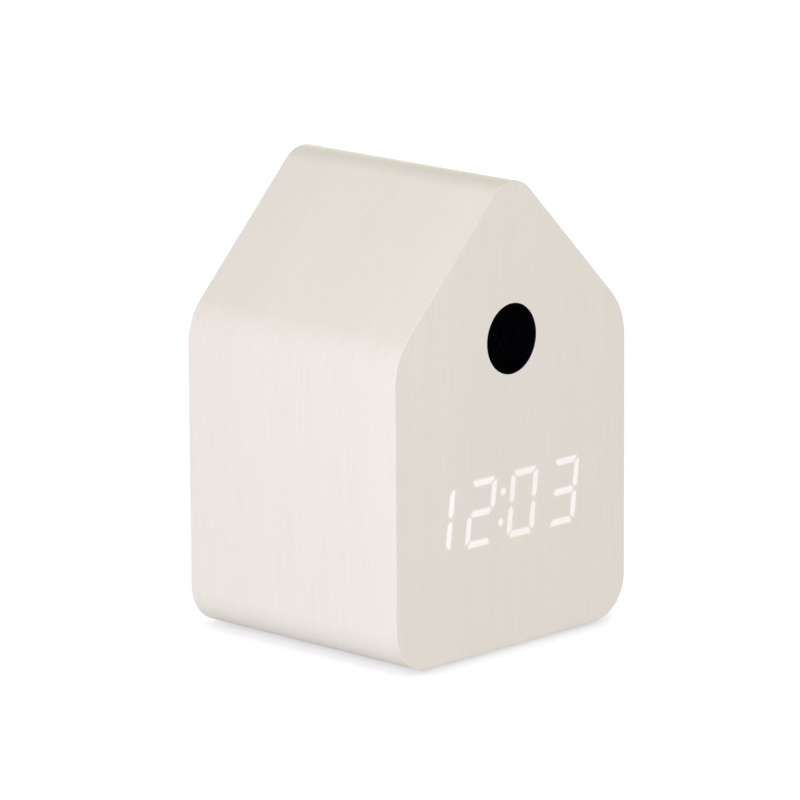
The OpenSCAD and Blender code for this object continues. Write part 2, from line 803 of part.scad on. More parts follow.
// Places on the board, counted from its ends and from part to part.
chip_w = 18;
chip_d = 7.5;
chip_x = 1;
chip_z = main_z - 2;
amp_w = 5;
amp_d = 4;
amp_in = 14;
amp_x = main_w / 2 - amp_in;
amp_z = main_z + 7;
part_gap = 2;
resistor_w = 2;
resistor_d = 1.25;
resistor_pitch = 3;
resistor_z = main_z + 9;
function resistor_x(i) = amp_x - amp_w / 2 - part_gap - resistor_w / 2 - (4 - i) * resistor_pitch;
can_r = 3.15;
can_h = 11;
can_gap = 4.85;
can_x = resistor_x(0) - resistor_w / 2 - can_gap - can_r;
can_z = main_z + 7.5;
lead_z = main_z - 10;
lead_left_x = ribbon_x + header_w / 2 + 2.5;
lead_right_x = main_w / 2 - 12.5;
crystal_l = 6;
crystal_w = 4.4;
crystal_h = 3.4;
crystal_x = lead_right_x - 7.5;
crystal_z = main_z - 9.5;

module clock_chip() {
    color([0.08, 0.08, 0.085])
        block(chip_x - chip_w / 2, chip_x + chip_w / 2, main_front_y - 2.5, main_front_y - 0.2,
            chip_z - chip_d / 2, chip_z + chip_d / 2);
}

module sound_chip() {
    color([0.08, 0.08, 0.085])
        block(amp_x - amp_w / 2, amp_x + amp_w / 2, main_front_y - 1.7, main_front_y - 0.2,
            amp_z - amp_d / 2, amp_z + amp_d / 2);
}

// One gull-wing leg: out of the body, down, and a foot on the board.
module leg(x, z, side, up) {
    rise = main_front_y - up;
    z1 = z + side * 0.9;
    z2 = z + side * 1.5;
    block(x - 0.2, x + 0.2, rise, rise + 0.2, min(z, z1), max(z, z1));
    block(x - 0.2, x + 0.2, rise, main_front_y, min(z1 - side * 0.2, z1), max(z1 - side * 0.2, z1));
    block(x - 0.2, x + 0.2, main_front_y - 0.2, main_front_y,
        min(z1 - side * 0.2, z2), max(z1 - side * 0.2, z2));
}

module chip_legs() {
    color([0.78, 0.78, 0.8])
        for (s = [-1, 1]) {
            for (i = [-6.5 : 1 : 6.5])
                leg(chip_x + 1.27 * i, chip_z + s * chip_d / 2, s, 1.4);
            for (i = [-1.5 : 1 : 1.5])
                leg(amp_x + 1.27 * i, amp_z + s * amp_d / 2, s, 0.9);
        }
}

module quartz_crystal() {
    color([0.8, 0.8, 0.82]) {
        on_board(crystal_x, crystal_z, crystal_l, crystal_w, crystal_h);
        for (s = [-1, 1])
            rod_y(crystal_x + s * crystal_l / 2, crystal_z, crystal_w / 2,
                main_front_y - crystal_h, main_front_y);
    }
}

module filter_capacitor() {
    color([0.15, 0.17, 0.35])
        difference() {
            rod_y(can_x, can_z, can_r, main_front_y - can_h, main_front_y);
            turned_groove(can_x, can_z, main_front_y - 2, can_r);
        }
}

// A shallow groove round a can.
module turned_groove(x, z, y, r) {
    translate([x, y, z])
        rotate([-90, 0, 0])
            rotate_extrude()
                translate([r + 0.15, 0])
                    circle(r = 0.5);
}

module chip_resistors() {
    color([0.12, 0.12, 0.13])
        for (i = [0 : 4])
            on_board(resistor_x(i), resistor_z, resistor_w, resistor_d, 0.55);
}

// Power socket: a folded metal shell with two slanted corners, round an insulating tongue.
function socket_points(w, h) = [[-w / 2, h / 2], [-w / 2, -h / 2 + 0.9], [-w / 2 + 0.9, -h / 2],
    [w / 2 - 0.9, -h / 2], [w / 2, -h / 2 + 0.9], [w / 2, h / 2]];

module power_socket() {
    color([0.8, 0.8, 0.82])
        translate([socket_x, 0, button_z])
            difference() {
                along_y(main_y, main_y + socket_l)
                    polygon(socket_points(socket_w, socket_h));
                along_y(main_y + 1, main_y + socket_l + past)
                    polygon(socket_points(socket_w - 0.7, socket_h - 0.7));
            }
}

module power_tongue() {
    color([0.1, 0.1, 0.11])
        block(socket_x - 1.9, socket_x + 1.9, main_y + 1, main_y + socket_l - 0.6,
            button_z + 0.1, button_z + 0.7);
}

// Buttons, their plungers and the switches that they press.
module switch_bodies() {
    color([0.18, 0.18, 0.19])
        for (x = [mode_x, up_x, down_x])
            difference() {
                block(x - 3, x + 3, main_y, main_y + switch_h, button_z - 3, button_z + 3);
                rod_y(x, button_z, plunger_r + run_gap, main_y + switch_h - 0.9 - button_travel,
                    main_y + switch_h + past);
            }
}

module button(x) {
    face = rear_y - 0.5;
    color([0.88, 0.86, 0.82])
        translate([x, 0, 0])
            turned(button_z)
                polygon([[0, cover_in_y - flange_t], [flange_r, cover_in_y - flange_t],
                    [flange_r, cover_in_y], [button_r, cover_in_y], [button_r, face - 0.4],
                    [button_r - 0.4, face], [0, face]]);
}

module plunger(x) {
    color([0.1, 0.1, 0.11])
        rod_y(x, button_z, plunger_r, main_y + switch_h - 0.7, cover_in_y - flange_t);
}

module mode_button() {
    button(mode_x);
}

module mode_plunger() {
    plunger(mode_x);
}

module up_button() {
    button(up_x);
}

module up_plunger() {
    plunger(up_x);
}

module down_button() {
    button(down_x);
}

module down_plunger() {
    plunger(down_x);
}

// Batteries. Cells lie along X; the middle one is turned round. Cell 0 is the lowest.
function cell_z(i) = bay_z + (i - 1) * cell_pitch;
// Side that a cell's tip points to.
function tip_side(i) = i == 1 ? -1 : 1;
end_x = bay_l / 2 - contact_t;

module battery_box() {
    color([0.12, 0.12, 0.125])
        difference() {
            union() {
                block(-bay_l / 2 - box_wall, bay_l / 2 + box_wall, box_out_y, cover_in_y,
                    bay_z0 - box_wall, bay_z0 + bay_h + box_wall);
                for (s = [-1, 1])
                    block(min(s * (bay_l / 2 + 0.5), s * (boss_x + 3.4)),
                        max(s * (bay_l / 2 + 0.5), s * (boss_x + 3.4)),
                        cover_in_y - boss_l - ear_t, cover_in_y - boss_l, bay_z - 4, bay_z + 4);
            }
            block(-bay_l / 2, bay_l / 2, box_in_y, cover_in_y + past, bay_z0, bay_z0 + bay_h);
            // room for the latch tongue above the bay
            block(-tongue_w / 2 - 0.5, tongue_w / 2 + 0.5, cover_in_y - 1.5, cover_in_y + past,
                bay_z0 + bay_h - past, bay_z0 + bay_h + box_wall + past);
            // slots for the two solder tabs
            for (i = [0, 2])
                block(tab_x(i) - contact_t / 2 - set_gap, tab_x(i) + contact_t / 2 + set_gap,
                    box_out_y - past, box_in_y + past,
                    cell_z(i) - tab_w / 2 - set_gap, cell_z(i) + tab_w / 2 + set_gap);
            for (s = [-1, 1])
                rod_y(s * boss_x, bay_z, screw_r + 0.2, cover_in_y - boss_l - ear_t - past, cover_in_y);
        }
}

module box_screws() {
    color([0.75, 0.75, 0.77])
        for (s = [-1, 1])
            inner_screw(s * boss_x, bay_z, cover_in_y - boss_l - ear_t, ear_t + boss_l + 0.7);
}

// Cell 0 starts the chain at -X and cell 2 ends it at +X.
function tab_x(i) = (i == 0 ? -1 : 1) * (bay_l / 2 - contact_t / 2);

module end_plate(side, z0, z1) {
    xa = side * bay_l / 2;
    xb = side * end_x;
    block(min(xa, xb), max(xa, xb), box_in_y + 0.3, cell_y + cell_r - 0.5, z0, z1);
}

module battery_contacts() {
    h = cell_r - 0.6;
    color([0.8, 0.78, 0.7]) {
        end_plate(-1, cell_z(0) - h, cell_z(0) + h);
        end_plate(1, cell_z(0) - h, cell_z(1) + h);
        end_plate(-1, cell_z(1) - h, cell_z(2) + h);
        end_plate(1, cell_z(2) - h, cell_z(2) + h);
        for (i = [0, 2])
            block(tab_x(i) - contact_t / 2, tab_x(i) + contact_t / 2, box_out_y - tab_out, box_in_y + 1,
                cell_z(i) - tab_w / 2, cell_z(i) + tab_w / 2);
    }
}

module battery_springs() {
    color([0.82, 0.82, 0.84])
        for (i = [0 : 2])
            tube(coil_path(-tip_side(i) * end_x, tip_side(i), cell_y, cell_z(i)), wire_r,
                [1, 0.002, 0.001], 6);
}

module battery_cells() {
    color([0.2, 0.34, 0.3])
        for (i = [0 : 2])
            translate([0, cell_y, cell_z(i)])
                rotate([0, tip_side(i) * 90, 0])
                    translate([0, 0, end_x - cell_len]) {
                        cylinder(r = cell_r - 0.05, h = cell_len - tip_l);
                        cylinder(r = tip_r, h = cell_len);
                    }
}

module battery_leads() {
    color([0.1, 0.1, 0.1]) {
        tube(lead_path([tab_x(0), box_out_y - tab_out, cell_z(0)], [lead_left_x, main_front_y, lead_z],
            -tab_reach, -board_reach), lead_r, [1, 0, 0], 6);
        tube(lead_path([tab_x(2), box_out_y - tab_out, cell_z(2)], [lead_right_x, main_front_y, lead_z],
            -tab_reach, -board_reach), lead_r, [1, 0, 0], 6);
    }
}

// A hinged door: round lower edge on two pins, a sprung tongue in the notch above.
module battery_door() {
    color([0.9, 0.88, 0.84])
        difference() {
            union() {
                block(-door_w / 2, door_w / 2, cover_out_y - door_t, cover_out_y, hinge_z, door_top);
                block(-tongue_w / 2, tongue_w / 2, cover_out_y - door_t, cover_out_y,
                    door_top - past, door_top + door_gap + tongue_up);
                rod_x(hinge_y, hinge_z, knuckle_r, -door_w / 2, door_w / 2);
                rod_x(hinge_y, hinge_z, hinge_pin_r, -bay_l / 2 - hinge_pin_l, bay_l / 2 + hinge_pin_l);
            }
            // the two slits that free the tongue
            for (s = [-1, 1])
                block(s * (tongue_w / 2 + tongue_slit / 2) - tongue_slit / 2,
                    s * (tongue_w / 2 + tongue_slit / 2) + tongue_slit / 2,
                    cover_out_y - door_t - past, cover_out_y + past, door_top - tongue_l, door_top + past);
            // finger grooves across the tongue
            for (k = [0 : 2])
                rod_x(cover_out_y + 0.3, door_top - 2 - 2.2 * k, 0.7, -tongue_w / 2 + 2, tongue_w / 2 - 2);
        }
}

case_core();
veneer_wrap();
front_board();
front_veneer();
screw_blocks();
foot_pads();
sound_liner();
liner_screws();
sound_grille();
speaker_gasket();
speaker_frame();
speaker_cone();
speaker_magnet();
speaker_leads();
digit_mask();
lit_segments();
dark_segments();
display_board();
led_chips();
display_screws();
display_header();
display_ribbon();
rear_cover();
cover_screws();
main_board();
board_screws();
main_header();
clock_chip();
sound_chip();
chip_legs();
quartz_crystal();
filter_capacitor();
chip_resistors();
power_socket();
power_tongue();
switch_bodies();
mode_button();
mode_plunger();
up_button();
up_plunger();
down_button();
down_plunger();
battery_box();
box_screws();
battery_contacts();
battery_springs();
battery_cells();
battery_leads();
battery_door();
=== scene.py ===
# %% [markdown]
# # A house-shaped alarm clock in whitewashed veneer
# The clock is a small house: a rounded tube of fibreboard with pale wood veneer round it, a veneered
# front with a glowing time, a black sound hole under the ridge, and a plastic cover at the rear.
# The construction is already there as solids. This lesson puts the finish on them: the few pieces that
# the eye rests on are modelled again with softer edges, and the rest only get materials.

# %% Frame
import json
from math import cos, pi, radians, sin, tan

import bmesh
import bpy
from mathutils import Matrix, Vector


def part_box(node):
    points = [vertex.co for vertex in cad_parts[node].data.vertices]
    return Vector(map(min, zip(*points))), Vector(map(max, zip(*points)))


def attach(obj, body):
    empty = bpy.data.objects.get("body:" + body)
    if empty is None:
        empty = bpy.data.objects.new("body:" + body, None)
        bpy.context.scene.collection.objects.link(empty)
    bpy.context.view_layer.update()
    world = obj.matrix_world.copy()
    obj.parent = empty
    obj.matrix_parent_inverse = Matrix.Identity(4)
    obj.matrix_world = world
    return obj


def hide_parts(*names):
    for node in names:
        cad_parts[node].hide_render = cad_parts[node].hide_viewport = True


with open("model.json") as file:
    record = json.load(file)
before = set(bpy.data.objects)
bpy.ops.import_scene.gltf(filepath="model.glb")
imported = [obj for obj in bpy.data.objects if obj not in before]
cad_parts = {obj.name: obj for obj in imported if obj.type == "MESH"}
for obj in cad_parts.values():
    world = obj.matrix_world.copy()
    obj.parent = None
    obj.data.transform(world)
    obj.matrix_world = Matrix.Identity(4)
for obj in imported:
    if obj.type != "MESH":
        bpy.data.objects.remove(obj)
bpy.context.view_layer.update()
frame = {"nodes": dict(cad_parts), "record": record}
nodes = frame["nodes"]
scene = bpy.context.scene
MM = 0.001

# %% [markdown]
# ## Camera
# The photograph was taken with a long lens from the left, a little above the roof's middle. The angles
# below were fitted to edges of the house in the picture. A camera can be aimed with a constraint, but a
# matrix built from its own three axes also holds the slight roll.

# %% Camera
aim = Vector((-3.202, 0, 69.569)) * MM
azimuth, elevation, roll = radians(-46.154), radians(13.082), radians(-0.324)
distance, lens, sensor = 1.9057, 284.84, 36
back = Vector((sin(azimuth) * cos(elevation), -cos(azimuth) * cos(elevation), sin(elevation)))
level = (-back).cross(Vector((0, 0, 1))).normalized()
upright = level.cross(-back)
across = level * cos(roll) + upright * sin(roll)
above = upright * cos(roll) - level * sin(roll)

camera_data = bpy.data.cameras.new("camera")
camera_data.sensor_width, camera_data.lens = sensor, lens
camera = bpy.data.objects.new("camera", camera_data)
turn = Matrix((across, above, back)).transposed().to_4x4()
camera.matrix_world = Matrix.Translation(aim + back * distance) @ turn
scene.collection.objects.link(camera)
scene.camera = camera
print("camera at", [round(c, 3) for c in camera.matrix_world.translation])

# %% [markdown]
# ## Node maths in Python
# A finish is a small sum over noise patterns. Wired by hand it is hard to read, so one class wraps a
# socket and lets Python's own operators add the Math nodes. Every other node comes from `node`, which
# takes the node's type, its settings and what goes into its sockets.

# %% Socket wrapper
class Sock:
    """One output socket of a node tree, with Python's operators."""

    def __init__(self, tree, socket=None):
        self.tree, self.socket = tree, socket

    def node(self, kind, settings=None, inputs=None, output=0):
        made = self.tree.nodes.new(kind)
        for name, setting in (settings or {}).items():
            if name == "stops":
                ramp = made.color_ramp
                for (place, colour), stop in zip(setting, ramp.elements):
                    stop.position, stop.color = place, (*colour, 1)
                for place, colour in setting[len(ramp.elements):]:
                    ramp.elements.new(place).color = (*colour, 1)
            else:
                setattr(made, name, setting)
        for name, value in (inputs or {}).items():
            if isinstance(value, Sock):
                self.tree.links.new(value.socket, made.inputs[name])
            else:
                made.inputs[name].default_value = value
        return Sock(self.tree, made.outputs[output])

    def math(self, operation, *values):
        return self.node("ShaderNodeMath", {"operation": operation}, dict(enumerate(values)))

    def __add__(self, other): return self.math("ADD", self, other)
    def __radd__(self, other): return self.math("ADD", other, self)
    def __sub__(self, other): return self.math("SUBTRACT", self, other)
    def __rsub__(self, other): return self.math("SUBTRACT", other, self)
    def __mul__(self, other): return self.math("MULTIPLY", self, other)
    def __rmul__(self, other): return self.math("MULTIPLY", other, self)
    def __truediv__(self, other): return self.math("DIVIDE", self, other)
    def __gt__(self, other): return self.math("GREATER_THAN", self, other)
    def __lt__(self, other): return self.math("LESS_THAN", self, other)
    def __abs__(self): return self.math("ABSOLUTE", self)

    def between(self, low, high):
        """0 below low, 1 above high, and a smooth step from one to the other."""
        return self.node("ShaderNodeMapRange", {"interpolation_type": "SMOOTHSTEP"},
                         {"Value": self, "From Min": low, "From Max": high})


def paint(tone, mask, first, second):
    """Mixes two colours, which may be plain tuples or sockets, by a mask."""
    full = lambda colour: colour if isinstance(colour, Sock) else (*colour, 1)
    return tone.node("ShaderNodeMix", {"data_type": "RGBA"},
                     {0: mask, 6: full(first), 7: full(second)}, output=2)


print("socket wrapper ready")

# %% [markdown]
# ## Floor and light
# The picture is a cut-out on white with only a soft shadow under the base. The light comes from the left,
# low and wide, with even light from all round, so the left wall is the palest face and the front the
# darkest. Light from above is a little warmer than light from the sides. The floor shows white to the
# camera by glowing a little, and keeps the shadow because the rest of its brightness is ordinary
# reflected light. Close to the house the glow is held back, a painted contact shadow on the floor, over a
# shorter reach beside it than in front, because the base is round there and the house overhangs the
# floor.

# %% World
world = bpy.data.worlds.new("studio")
world.use_nodes = True
world.node_tree.nodes.clear()
sky = Sock(world.node_tree)
HORIZON, ZENITH = 0.890, 0.47
ROOM_TINT, ZENITH_TINT = (1.0, 1.0, 0.978), (1.0, 0.99, 0.86)
height = sky.node("ShaderNodeSeparateXYZ", None, {0: sky.node("ShaderNodeTexCoord")}, output=2)
ambient = HORIZON + abs(height) * (ZENITH - HORIZON)


def shown_directly(tone):
    """1 for what the camera sees itself, in a reflection, or through glass."""
    seen = [tone.node("ShaderNodeLightPath", output=name)
            for name in ("Is Camera Ray", "Is Glossy Ray", "Is Transmission Ray")]
    return tone.math("MAXIMUM", seen[0], tone.math("MAXIMUM", seen[1], seen[2]))


white = shown_directly(sky)
strength = white + (1 - white) * ambient
tint = paint(sky, white, paint(sky, abs(height), ROOM_TINT, ZENITH_TINT), (1, 1, 1))
shine = sky.node("ShaderNodeBackground", None, {"Color": tint, "Strength": strength})
last = world.node_tree.nodes.new("ShaderNodeOutputWorld")
world.node_tree.links.new(shine.socket, last.inputs["Surface"])
scene.world = world
scene.view_settings.view_transform = "Standard"
print("world: horizon", HORIZON, "zenith", ZENITH)

# %% Floor
FLOOR_HALF, FLOOR_TONE = 6, (0.78, 0.78, 0.80)
FLOOR_GLOW, GLOW_TINT = 0.49, (0.975, 0.975, 1)
FRONT_REACH, SIDE_REACH = 9 * MM, 5.5 * MM
FRONT_SHADE, SIDE_SHADE = 0.48, 0.84
BESIDE = 37 * MM, 47 * MM
floor_finish = bpy.data.materials.new("studio_floor")
floor_finish.use_nodes = True
floor_finish.node_tree.nodes.clear()
ground = Sock(floor_finish.node_tree)
matt = ground.node("ShaderNodeBsdfDiffuse", None, {"Color": (*FLOOR_TONE, 1)})
spot = ground.node("ShaderNodeTexCoord", output="Object")
beside = abs(ground.node("ShaderNodeSeparateXYZ", None, {0: spot})).between(*BESIDE)
reach = FRONT_REACH + (SIDE_REACH - FRONT_REACH) * beside
darkest = FRONT_SHADE + (SIDE_SHADE - FRONT_SHADE) * beside
# painted contact shadow: near the house the floor's glow is dimmed by how little sky is open
open_sky = ground.node("ShaderNodeAmbientOcclusion", {"samples": 16}, {"Distance": reach},
                       output="AO")
# less than half of the sky is open under the overhang, where the true shadow is dark enough
painted_contact_shade = darkest + (1 - darkest) * abs(open_sky - 0.5) * 2
glow = ground.node("ShaderNodeEmission", None, {
    "Color": (*GLOW_TINT, 1), "Strength": shown_directly(ground) * FLOOR_GLOW * painted_contact_shade})
both = ground.node("ShaderNodeAddShader", None, {0: matt, 1: glow})
last = floor_finish.node_tree.nodes.new("ShaderNodeOutputMaterial")
floor_finish.node_tree.links.new(both.socket, last.inputs["Surface"])

bm = bmesh.new()
bmesh.ops.create_grid(bm, x_segments=1, y_segments=1, size=FLOOR_HALF)
floor_mesh = bpy.data.meshes.new("studio_floor")
bm.to_mesh(floor_mesh)
bm.free()
floor = bpy.data.objects.new("studio_floor", floor_mesh)
floor.data.materials.append(floor_finish)
scene.collection.objects.link(floor)
print("floor:", 2 * FLOOR_HALF, "m wide")

# %% Lamps
def softbox(name, direction, size, away, level, colour=(1, 1, 1)):
    """A wide lamp that lights a face turned to it by level, where 1 shows a colour as written."""
    lamp = bpy.data.lights.new(name, "AREA")
    lamp.shape, lamp.size, lamp.size_y, lamp.color = "RECTANGLE", *size, colour
    lamp.energy = level * pi * pi * away * away
    holder = bpy.data.objects.new(name, lamp)
    towards = Vector(direction).normalized()
    holder.matrix_world = (Matrix.Translation(aim + towards * away)
                           @ towards.to_track_quat("Z", "Y").to_matrix().to_4x4())
    scene.collection.objects.link(holder)
    return holder


softbox("side_softbox", direction=(-0.845, -0.525, 0.13), size=(1.3, 0.36), away=1.6, level=0.52,
        colour=(0.974, 1.0, 1.25))
softbox("rear_softbox", direction=(0.70, 0.68, 0.18), size=(1.3, 0.6), away=1.6, level=0.32)

# %% [markdown]
# ## Whitewashed veneer
# Thin pale wood, rubbed with white and lacquered matt. The grain is fine and straight: upright on the
# front, and round the house on the case, so up the wall and on up the roof. A wood ring texture would be
# too bold here. Long stretched noise at three widths gives the bands, the fibres and the short open
# pores. Three marks on the mesh guide it: where a sheet is folded over an edge, the grain goes on as if
# it were still flat; the cut edge of the sound hole is sprayed black; and the wood close round a lit
# window glows a little, because thin veneer lets light through.

# %% Finish helpers
def new_finish(name):
    """An empty material with a Principled shader. Returns it, the shader and the object coordinates."""
    finish = bpy.data.materials.new(name)
    finish.use_nodes = True
    tree = finish.node_tree
    shader = tree.nodes["Principled BSDF"]
    place = Sock(tree).node("ShaderNodeTexCoord", output="Object")
    return finish, shader, place


def feed(shader, **sockets):
    """Links or sets a shader's sockets, named with _ for a space."""
    for name, value in sockets.items():
        target = shader.inputs[name.replace("_", " ")]
        if isinstance(value, Sock):
            value.tree.links.new(value.socket, target)
        else:
            target.default_value = value


def mark(place, name):
    """A number that the piece's own points carry, or 0 on a piece without it."""
    return place.node("ShaderNodeAttribute", {"attribute_name": name}, output="Fac")


def stretched_noise(place, scale, detail=2.0):
    """Noise with its own scale on each axis, in cells per metre."""
    spread = place.node("ShaderNodeMapping", None, {"Vector": place, "Scale": scale})
    return place.node("ShaderNodeTexNoise", None, {"Vector": spread, "Scale": 1.0, "Detail": detail})


def bump(place, height, strength, depth):
    """Relief for a shader's Normal from a height pattern, with its depth in metres."""
    relief = {"Strength": strength, "Distance": depth, "Height": height}
    return place.node("ShaderNodeBump", None, relief)


print("finish helpers ready")

# %% Veneer finish
BANDS, FIBRES, PORES = (90, 5), (850, 26), (2300, 75)  # cells in a metre, over and along the grain
PORE, SPRAYED = (0.60, 0.54, 0.46), (0.0030, 0.0030, 0.0042)
HALO_LIGHT, HALO_LEVEL = (1.0, 0.93, 0.95), 0.11


def veneer_finish(name, pale, deep, across, along):
    """across and along say with 1 which axes run over the grain and which with it."""
    finish, shader, place = new_finish(name)
    cells = lambda wide, long: tuple(wide * a + long * b for a, b in zip(across, along))
    folded_on = place.node("ShaderNodeCombineXYZ", None, {"Y": mark(place, "fold")})
    sheet = place.node("ShaderNodeVectorMath", {"operation": "ADD"}, {0: place, 1: folded_on})
    bands = stretched_noise(sheet, cells(*BANDS), 2)
    fibres = stretched_noise(sheet, cells(*FIBRES), 3)
    pores = stretched_noise(sheet, cells(*PORES), 1).between(0.66, 0.74)
    tone = bands.between(0.30, 0.70) * 0.45 + fibres.between(0.30, 0.70) * 0.55
    colour = paint(place, tone, deep, pale)
    colour = paint(place, pores * 0.22, colour, PORE)
    colour = paint(place, mark(place, "sprayed"), colour, SPRAYED)
    relief = bump(place, fibres * 0.6 - pores * 0.8, 0.25, 6e-5)
    feed(shader, Base_Color=colour, Roughness=0.50 + fibres * 0.16, Normal=relief,
         Emission_Color=paint(place, mark(place, "halo"), (0, 0, 0), HALO_LIGHT),
         Emission_Strength=HALO_LEVEL)
    return finish


front_wood = veneer_finish("front_veneer", (0.826, 0.775, 0.681), (0.803, 0.751, 0.656),
                           across=(1, 0, 0), along=(0, 1, 1))
wrap_wood = veneer_finish("case_veneer", (0.826, 0.775, 0.686), (0.803, 0.751, 0.661),
                          across=(0, 1, 0), along=(1, 0, 1))
print("veneer finishes made")

# %% [markdown]
# ## House outline
# Every face of the house shares one outline: straight sides joined by true rounds at the base, the eaves
# and the ridge. A beveled polygon would give flattened rounds at the slanted corners, so half of the
# outline is drawn by moving a vertex along the straight sides and spinning it round the three centres,
# and the other half is its mirror image. Moved inwards, all rounds keep their centres. The solids' eaves
# are a little rounder than the real ones, so the veneer's outer face gets a tighter round there, while
# its inner face still lies on the board.

# %% Outline loops
low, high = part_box("veneer_wrap")
HALF_W, FOOT_Z, HOUSE_H = high.x, low.z, 142 * MM
BASE_R, RIDGE_R = 13 * MM, 11 * MM
EAVE_R, BOARD_EAVE_R = 20 * MM, 30 * MM
SLOPE = radians(45.6)
LEAN = pi / 2 - SLOPE
base_c = Vector((HALF_W - BASE_R, 0, FOOT_Z + BASE_R))
ridge_c = Vector((0, 0, HOUSE_H - RIDGE_R))
SAME, NEAR = 1e-7, 1e-6  # metres within which points are one


def eave_centre(radius):
    """Middle of an eave's round that touches the wall and the roof."""
    x = HALF_W - radius
    z = ridge_c.z + (RIDGE_R - radius - x * sin(SLOPE)) / cos(SLOPE)
    return Vector((x, 0, z))


def house_loop(bm, inset, y, eave_r=EAVE_R):
    """The house outline at depth y, moved inwards by inset. Returns its edges."""
    # centre, radius, angle and steps
    rounds = ((base_c, BASE_R, pi / 2, 20), (eave_centre(eave_r), eave_r, LEAN, 20),
              (ridge_c, RIDGE_R, SLOPE, 14))
    there = set(bm.edges)
    tip = bm.verts.new((0, y, FOOT_Z + inset))
    half = [tip]
    facing = Vector((0, 0, -1))
    for centre, radius, angle, steps in rounds:
        corner = bmesh.ops.extrude_vert_indiv(bm, verts=[half[-1]])["verts"][0]
        corner.co = centre + facing * (radius - inset) + Vector((0, y, 0))
        swept = bmesh.ops.spin(bm, geom=[corner], cent=(centre.x, y, centre.z), axis=(0, -1, 0),
                               angle=angle, steps=steps, use_merge=False)
        half.append(next(g for g in swept["geom_last"] if isinstance(g, bmesh.types.BMVert)))
        facing = Matrix.Rotation(-angle, 3, "Y") @ facing
    drawn = [e for e in bm.edges if e not in there]
    around = list(dict.fromkeys(v for e in drawn for v in e.verts))
    bmesh.ops.mirror(bm, geom=around + drawn, axis="X", merge_dist=NEAR)
    return [e for e in bm.edges if e not in there]


print("eave centre:", [round(c / MM, 2) for c in eave_centre(EAVE_R)])


# %% Filling and bridging
def fill_flat(bm, edges):
    """Fills the flat between an outline and the holes in it, and keeps its border crisp."""
    bmesh.ops.triangle_fill(bm, use_beauty=True, use_dissolve=False, edges=edges, normal=(0, -1, 0))
    for edge in edges:
        edge.smooth = False


def bridge(bm, loops):
    """Joins each loop to the next with a band of faces, or a flat fill if both lie in one plane."""
    for near, far in zip(loops, loops[1:]):
        if abs(near[0].verts[0].co.y - far[0].verts[0].co.y) < SAME:
            fill_flat(bm, near + far)
        else:
            bmesh.ops.bridge_loops(bm, edges=near + far)


def rounded(face_y, inwards, radius, steps=5):
    """(inset, y) of loops from a wall round its edge to the face at face_y."""
    turns = [pi / 2 * k / steps for k in range(steps + 1)]
    return [(radius * (1 - cos(t)), face_y + inwards * radius * (1 - sin(t))) for t in turns]


print("an edge is rounded in", len(rounded(0, 1, 1)) - 1, "steps")

# %% [markdown]
# ## Turning a mesh into a piece
# Each new piece ends the same way: doubles merged, faces turned outwards, edges over an angle kept sharp,
# and the object tied to the body that carries it. What repeats is one function.

# %% Piece helper
def make_piece(name, bm, finish, body, replaced, crease=30):
    """Turns bm into a piece on a body, in place of the solids in replaced. crease is in degrees."""
    bmesh.ops.remove_doubles(bm, verts=bm.verts, dist=SAME)
    bmesh.ops.recalc_face_normals(bm, faces=bm.faces)
    for face in bm.faces:
        face.smooth = True
    for edge in bm.edges:
        if edge.calc_face_angle(0) > radians(crease):
            edge.smooth = False
    mesh = bpy.data.meshes.new(name)
    bm.to_mesh(mesh)
    open_edges = sum(1 for e in bm.edges if len(e.link_faces) != 2)
    bm.free()
    mesh.materials.append(finish)
    piece = bpy.data.objects.new(name, mesh)
    scene.collection.objects.link(piece)
    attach(piece, body)
    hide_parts(*replaced)
    print(name, "faces:", len(mesh.polygons), "open edges:", open_edges)
    return piece


print("piece helper ready")

# %% [markdown]
# ## Digit segments
# The time is shown by slanted seven-segment digits. Windows in the front sheet are filled flush with a
# translucent plastic: lit ones glow, and the others are tinted like the wood, so they vanish. Three
# shapes are enough for a digit, because the other four are their mirror images. Where an upright and a
# level segment meet, both end in a mitre with its tip cut off.

# %% Digit sizes
FRONT_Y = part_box("front_veneer")[0].y
SHEET_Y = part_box("front_veneer")[1].y
DIGIT_H, DIGIT_W, PITCH = 20.4 * MM, 11.9 * MM, 18.1 * MM
UPRIGHT_W, LEVEL_H = 2.1 * MM, 2.1 * MM
GAP, TIP_GAP, TIP_CUT = 0.4 * MM, 0.4 * MM, 1 * MM
DIGITS_X, DIGITS_Z = 0.4 * MM, 43.9 * MM
COLON_UP, COLON_R = 4.6 * MM, 1.2 * MM
SLANT = radians(7.2)
slant = Matrix(((1, 0, tan(SLANT)), (0, 1, 0), (0, 0, 1))).to_4x4()
lit_half = (3 * PITCH + UPRIGHT_W) / 2
digit_mid = [DIGITS_X + lit_half - (3 - i) * PITCH - DIGIT_W / 2 for i in range(4)]
colon_x = (digit_mid[1] + digit_mid[2]) / 2
print("digit middles, mm:", [round(x / MM, 2) for x in digit_mid])

# %% Segment shapes
w, h, u, v = DIGIT_W / 2, DIGIT_H / 2, UPRIGHT_W, LEVEL_H
side_end, shoulder = w - GAP - TIP_CUT, h - v * TIP_CUT / u
TOP = ((-side_end, h), (side_end, h), (side_end, shoulder), (w - u - GAP, h - v),
       (u + GAP - w, h - v), (-side_end, shoulder))
top_end = h - GAP - TIP_CUT
RIGHT = ((w, top_end), (w, TIP_GAP + u / 2), (w - u / 2, TIP_GAP), (w - u, TIP_GAP + u / 2),
         (w - u, h - GAP - v), (w - u * TIP_CUT / v, top_end))
reach = w - u / 2 - TIP_GAP
MIDDLE = ((-reach, 0), (v / 2 - reach, v / 2), (reach - v / 2, v / 2), (reach, 0),
          (reach - v / 2, -v / 2), (v / 2 - reach, -v / 2))
